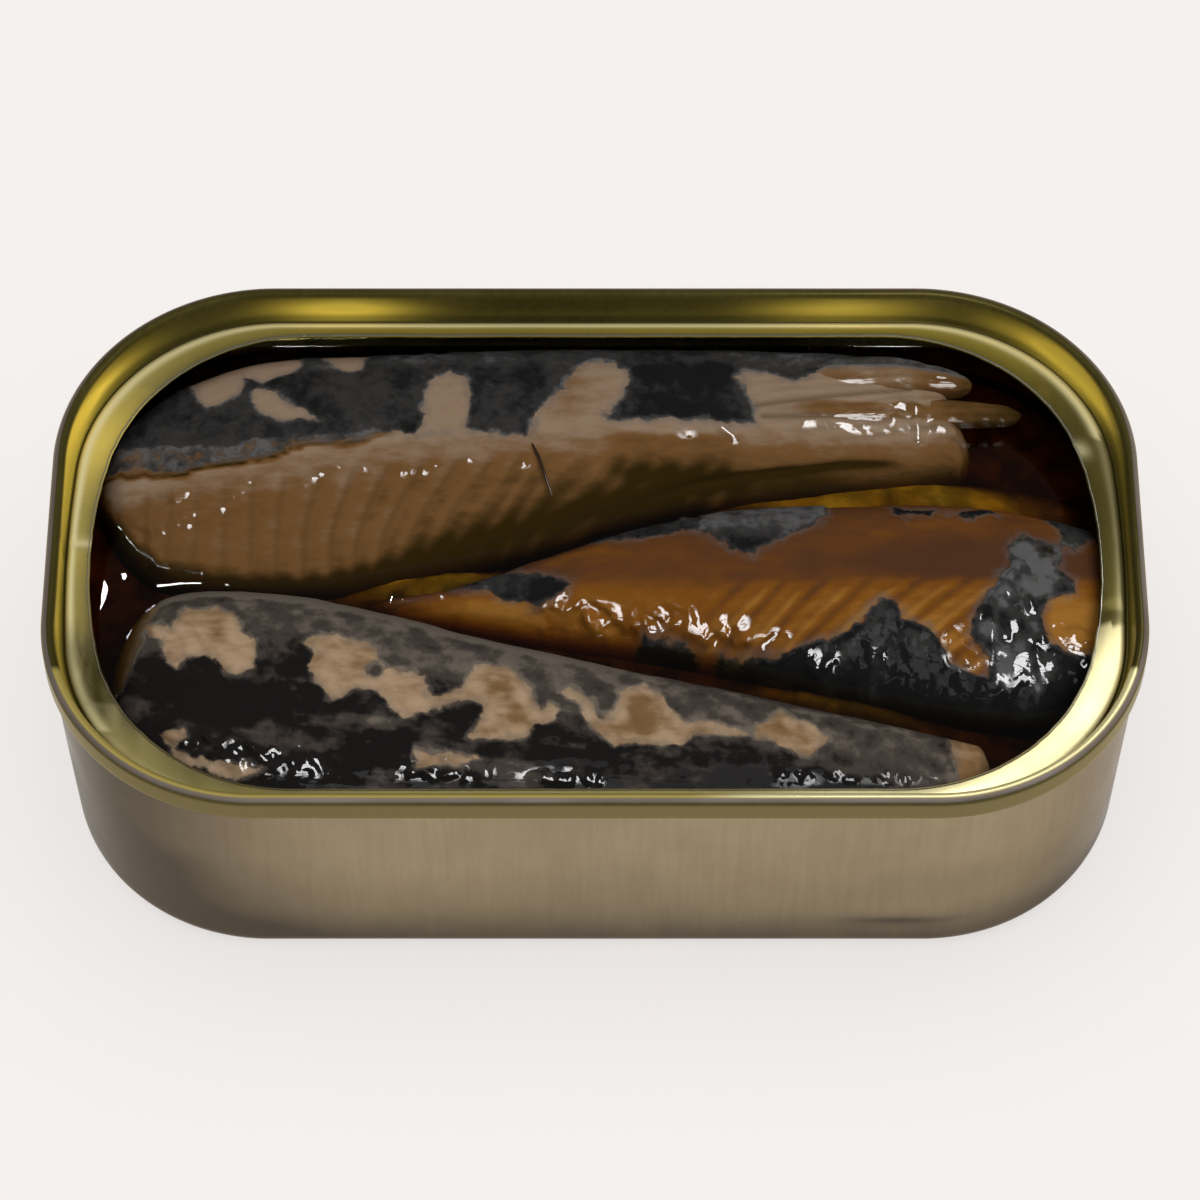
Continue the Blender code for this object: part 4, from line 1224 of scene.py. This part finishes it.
DARK_SKIN = ((0.009, 0.009, 0.009), (0.03, 0.029, 0.028), (0.088, 0.086, 0.085))
FRONT_SKIN = ((0.01, 0.009, 0.0085), (0.05, 0.041, 0.035), (0.12, 0.1, 0.08))
FLESH = {
    "back_fish": ((0.23, 0.16, 0.107), (0.135, 0.067, 0.023), (0.024, 0.014, 0.003), *DARK_SKIN),
    "middle_fish": ((0.27, 0.12, 0.021), (0.16, 0.058, 0.008), (0.068, 0.028, 0.013), *DARK_SKIN),
    "front_fish": ((0.36, 0.25, 0.155), (0.17, 0.095, 0.04), (0.06, 0.032, 0.008), *FRONT_SKIN),
    "scrap_fish": ((0.3, 0.2, 0.03), (0.14, 0.095, 0.012), (0.05, 0.035, 0.006), *DARK_SKIN),
}
painted_pieces = ((back_piece, *flakes), (middle_piece,), (front_piece,), (scraps,))
for (name, colours), pieces in zip(FLESH.items(), painted_pieces):
    material = fish_material(name, colours)
    for piece in pieces:
        piece.data.materials.append(material)
bone_material, _, _ = new_material("loose_bone", Base_Color=(0.02, 0.012, 0.006, 1), Roughness=0.25)
bone.data.materials.append(bone_material)
print("fish materials:", ", ".join(FLESH))

# %% [markdown]
# ### Oil
#
# Oil is clear and only looks amber where it is deep, so its colour is not on the surface: it is soaked up on
# the way through. Volume Absorption takes most of the blue and some of the green in each millimetre. Light
# on its way to the fish passes straight through, so that no speckle of bent light lies on them.

# %% Oil material
OIL_TINT, OIL_DENSITY = (0.78, 0.64, 0.0), 800.0
oil_material, tree, shader = new_material(
    "amber_oil", Base_Color=(1, 1, 1, 1), Transmission_Weight=1.0, Roughness=0.0, IOR=OIL_IOR
)
out = tree.nodes["Material Output"]
soak = node(tree, "ShaderNodeVolumeAbsorption", {"Color": colour(OIL_TINT), "Density": OIL_DENSITY})
tree.links.new(soak.outputs[0], out.inputs["Volume"])
rays = node(tree, "ShaderNodeLightPath").outputs
clear = node(tree, "ShaderNodeBsdfTransparent")
straight = number(tree, "MAXIMUM", rays["Is Shadow Ray"], rays["Is Diffuse Ray"])
seen = node(tree, "ShaderNodeMixShader", {0: straight, 1: shader.outputs[0], 2: clear.outputs[0]})
tree.links.new(seen.outputs[0], out.inputs["Surface"])
oil.data.materials.append(oil_material)
print("oil takes up", OIL_TINT, "at a density of", OIL_DENSITY)

# %% [markdown]
# ### Tin
#
# Drawing the cup leaves faint upright streaks and rubs the lacquer thin. The inside and the lid's ring carry
# gold lacquer. On the ring the lacquer's colour is set nearly black, a painted dark reflection of the room,
# with painted golden reflections and pale highlights where its marks say.

# %% Metal materials
METAL_BUMP_HEIGHT = 0.0001

tree, given, end = new_group(
    "Rubbed Metal",
    [
        ("Place", "Vector", None), ("Metal", "Color", (0.5, 0.4, 0.3, 1)),
        ("Worn", "Color", (0.6, 0.5, 0.4, 1)),
    ],
    [("Color", "Color"), ("Roughness", "Float"), ("Height", "Float")],
)
metal_group = tree
streaks = grain(tree, given["Place"], 1.6, 5.0, 0.6, (1.0, 1.0, 0.05))
clouds = grain(tree, given["Place"], 0.08, 5.0, 0.6)
wear = plus(tree, span(tree, streaks, 0.25, 0.75, 0.0, 0.5), span(tree, clouds, 0.3, 0.7, 0, 0.5))
metal_colour = blend(tree, wear, given["Metal"], given["Worn"])
metal_rough = span(tree, clouds, 0.3, 0.7, 0.2, 0.3)
finish_group(tree, end, Color=metal_colour, Roughness=metal_rough, Height=streaks)


def metal_material(name, metal, worn, bump=0.1, masks=(), lay=0.0, metal_share=1.0, edge=(1.0, 1.0, 1.0)):
    """Rubbed metal. Each mask is a mark and its colour, and `lay` turns the rubbing about the x axis."""
    material, tree, shader = new_material(name, Metallic=metal_share, Specular_Tint=colour(edge))
    rubbed = node(tree, "ShaderNodeGroup", node_tree=metal_group)
    turned = node(tree, "ShaderNodeMapping", {"Vector": object_place(tree), "Rotation": (lay, 0.0, 0.0)})
    tree.links.new(turned.outputs[0], rubbed.inputs["Place"])
    rubbed.inputs["Metal"].default_value = colour(metal)
    rubbed.inputs["Worn"].default_value = colour(worn)
    tint = rubbed.outputs["Color"]
    for mask, other in masks:
        tint = blend(tree, attribute(tree, mask), tint, colour(other))
    tree.links.new(tint, shader.inputs["Base Color"])
    tree.links.new(rubbed.outputs["Roughness"], shader.inputs["Roughness"])
    bumped(tree, shader, bump, METAL_BUMP_HEIGHT, rubbed.outputs["Height"])
    return material


# Painted shade and reflection on the wall, in this dark colour.
CUP_MASKS = [("painted_wall_shade", (0.082, 0.069, 0.055))]
# The first two colours are painted golden reflections and painted highlights.
RING_MASKS = [
    ("painted_gold_reflection", (0.76, 0.565, 0.075)), ("painted_highlight", (0.75, 0.67, 0.36)), ("outer", (0.115, 0.09, 0.034)),
    ("worn", (0.22, 0.18, 0.165)),
]
outside = metal_material(
    "drawn_tinplate", (0.31, 0.243, 0.148), (0.385, 0.31, 0.2), masks=CUP_MASKS, edge=(0.72, 0.68, 0.62)
)
# The lacquer's own colour is set nearly black: a painted dark reflection of the room, under the marks.
gold = metal_material(
    "gold_lacquer", (0.035, 0.029, 0.006), (0.06, 0.05, 0.012), bump=0.03, masks=RING_MASKS, lay=math.pi / 2,
    metal_share=0.55, edge=(0.85, 0.72, 0.4),
)
inside = metal_material("gold_inside", (0.5, 0.4, 0.11), (0.6, 0.5, 0.2))
raw = metal_material("torn_steel", (0.45, 0.43, 0.36), (0.55, 0.53, 0.47))
for piece, materials in ((cup, (outside, inside)), (ring, (gold, outside, raw))):
    for material in materials:
        piece.data.materials.append(material)
print("metals:", ", ".join(material.name for material in (outside, gold, inside, raw)))

# %% [markdown]
# ## Camera, floor and light
#
# The camera looks down from the front with a long lens, so the tin's sides stay nearly parallel.

# %% Camera
CAMERA_RISE = 0.97810
CAMERA_DISTANCE = 0.5069233
AIM = (0.00046962, 0.01207251, 0.0)
camera_data = bpy.data.cameras.new("camera")
camera_data.lens = 150.0
camera_data.sensor_width = 36.0
camera_data.clip_start = 0.01
camera = bpy.data.objects.new("camera", camera_data)
back_off = CAMERA_DISTANCE * math.cos(CAMERA_RISE)
camera.location = (AIM[0], AIM[1] - back_off, CAMERA_DISTANCE * math.sin(CAMERA_RISE))
camera.rotation_euler = (math.pi / 2 - CAMERA_RISE, 0.0, 0.0)
bpy.context.scene.collection.objects.link(camera)
bpy.context.scene.camera = camera
print(f"camera {math.degrees(CAMERA_RISE):.1f} degrees above the floor, {CAMERA_DISTANCE:.3f} m away")

# %% [markdown]
# The floor is one pale face, wide enough that no edge of it is ever in sight.

# %% Floor
FLOOR_HALF = 3.0
floor_mesh = bpy.data.meshes.new("floor")
corners = [(FLOOR_HALF * x, FLOOR_HALF * y, 0) for x, y in ((-1, -1), (1, -1), (1, 1), (-1, 1))]
floor_mesh.from_pydata(corners, [], [(0, 1, 2, 3)])
floor = bpy.data.objects.new("floor", floor_mesh)
bpy.context.scene.collection.objects.link(floor)
floor_material, _, _ = new_material("floor", Base_Color=(0.94, 0.905, 0.885, 1), Roughness=0.9)
floor.data.materials.append(floor_material)
print("floor:", 2 * FLOOR_HALF, "m wide")

# %% [markdown]
# The soft lights give the even light and don't show in reflections. The glints only show in reflections, and
# are what sparkles: three of them on the fish and the oil, and the highest one on the fish alone, so that it
# lays no white veil on the oil. The window is one small bright spot in the oil. The ring has a sky, a gleam
# and two fills of its own, which show the bend of the metal. The backdrop lights reach only the floor and
# keep it even.

# %% Lights
LAMP_DISTANCE = 0.9
ABOVE_TIN, TIN_MIDDLE = (0.1, -0.1, 1.2), (0, 0, 0.02)
GLEAM_PLACE, GLEAM_TURN = (0.041, 0.019), 35
WORLD_TINT, WORLD_STRENGTH = (1, 0.98, 0.96), 0.06


def softbox(name, place, aim, size, power):
    """An area light at place that faces aim, both in metres."""
    data = bpy.data.lights.new(name, "AREA")
    data.shape = "RECTANGLE"
    data.size, data.size_y = size
    data.energy = power
    lamp = bpy.data.objects.new(name, data)
    away = np.array(place, float) - np.array(aim, float)
    flat = math.hypot(away[0], away[1])
    lamp.location = place
    turn = math.atan2(away[0], -away[1]) if flat > 1e-9 else 0.0
    lamp.rotation_euler = (math.atan2(flat, away[2]), 0.0, turn)
    bpy.context.scene.collection.objects.link(lamp)
    return lamp


def tin_light(name, turn_right, rise, size, power):
    """A softbox that faces the tin, so many degrees right of the camera's side and above the floor."""
    turn_right, rise = math.radians(turn_right), math.radians(rise)
    flat = LAMP_DISTANCE * math.cos(rise)
    place = (flat * math.sin(turn_right), -flat * math.cos(turn_right), LAMP_DISTANCE * math.sin(rise))
    return softbox(name, place, TIN_MIDDLE, size, power)


def linked(name, pieces, lamps):
    """Lets some lamps light only these pieces."""
    group = bpy.data.collections.new(name)
    for piece in pieces:
        group.objects.link(piece)
    for lamp in lamps:
        lamp.light_linking.receiver_collection = group
    return group


soft = [
    tin_light("key", 40, 60, (0.4, 0.4), 4.0),
    softbox("sky", ABOVE_TIN, (0, 0, 0), (1.8, 1.8), 13.6),
]
glints = [
    tin_light("high_glint", 60, 82, (0.4, 0.2), 5.0),
    tin_light("front_glint", 18, 66, (0.5, 0.24), 7.5),
    tin_light("middle_glint", 14, 48, (0.55, 0.24), 8.3),
    tin_light("low_glint", 4, 24, (0.5, 0.2), 6.3),
]
window = softbox("window", (-0.128, 0.51, 0.76), (-0.045, 0.006, 0.022), (0.01, 0.03), 0.05)
gleam = softbox("gleam", (*GLEAM_PLACE, 0.086), (*GLEAM_PLACE, 0), (0.042, 0.014), 0.0085)
gleam.rotation_euler[2] = math.radians(GLEAM_TURN)
panels = [gleam, softbox("ring_sky", (0, 0.1, 0.62), TIN_MIDDLE, (1.3, 1.1), 1.2)]
fills = [tin_light(f"fill_{turn}", turn, 14, (0.2, 0.2), power) for turn, power in ((-55, 4.4), (55, 7.6))]
backdrop = [
    softbox("backdrop_even", (0, 0, 2.5), (0, 0, 0), (4, 4), 100.0),
    softbox("backdrop_shade", ABOVE_TIN, (0, 0, 0), (1.8, 1.8), 1.2),
]

fish = (back_piece, middle_piece, front_piece)
linked("wet_fish", (*fish, bone, *flakes), glints[:1])
linked("wet_pieces", (*fish, oil, bone, *flakes), glints[1:])
linked("oil_alone", (oil,), [window])
linked("ring_alone", (ring,), panels + fills)
linked("all_pieces", (cup, ring, oil, scraps, bone, *fish, *flakes), soft)
floor_alone = linked("backdrop_alone", (floor,), backdrop)
backdrop[0].light_linking.blocker_collection = floor_alone
glints.append(window)
for lamp in soft + fills + backdrop:
    lamp.visible_glossy = False
for lamp in glints:
    lamp.visible_diffuse = False
    lamp.visible_transmission = False
for lamp in soft + fills + glints + panels + backdrop:
    lamp.visible_camera = False
world = bpy.data.worlds.new("studio")
world.use_nodes = True
background = world.node_tree.nodes["Background"]
background.inputs["Color"].default_value = colour(WORLD_TINT)
background.inputs["Strength"].default_value = WORLD_STRENGTH
bpy.context.scene.world = world
bpy.context.scene.view_settings.view_transform = "Standard"
print("lamps:", len(soft + fills + glints + panels + backdrop))
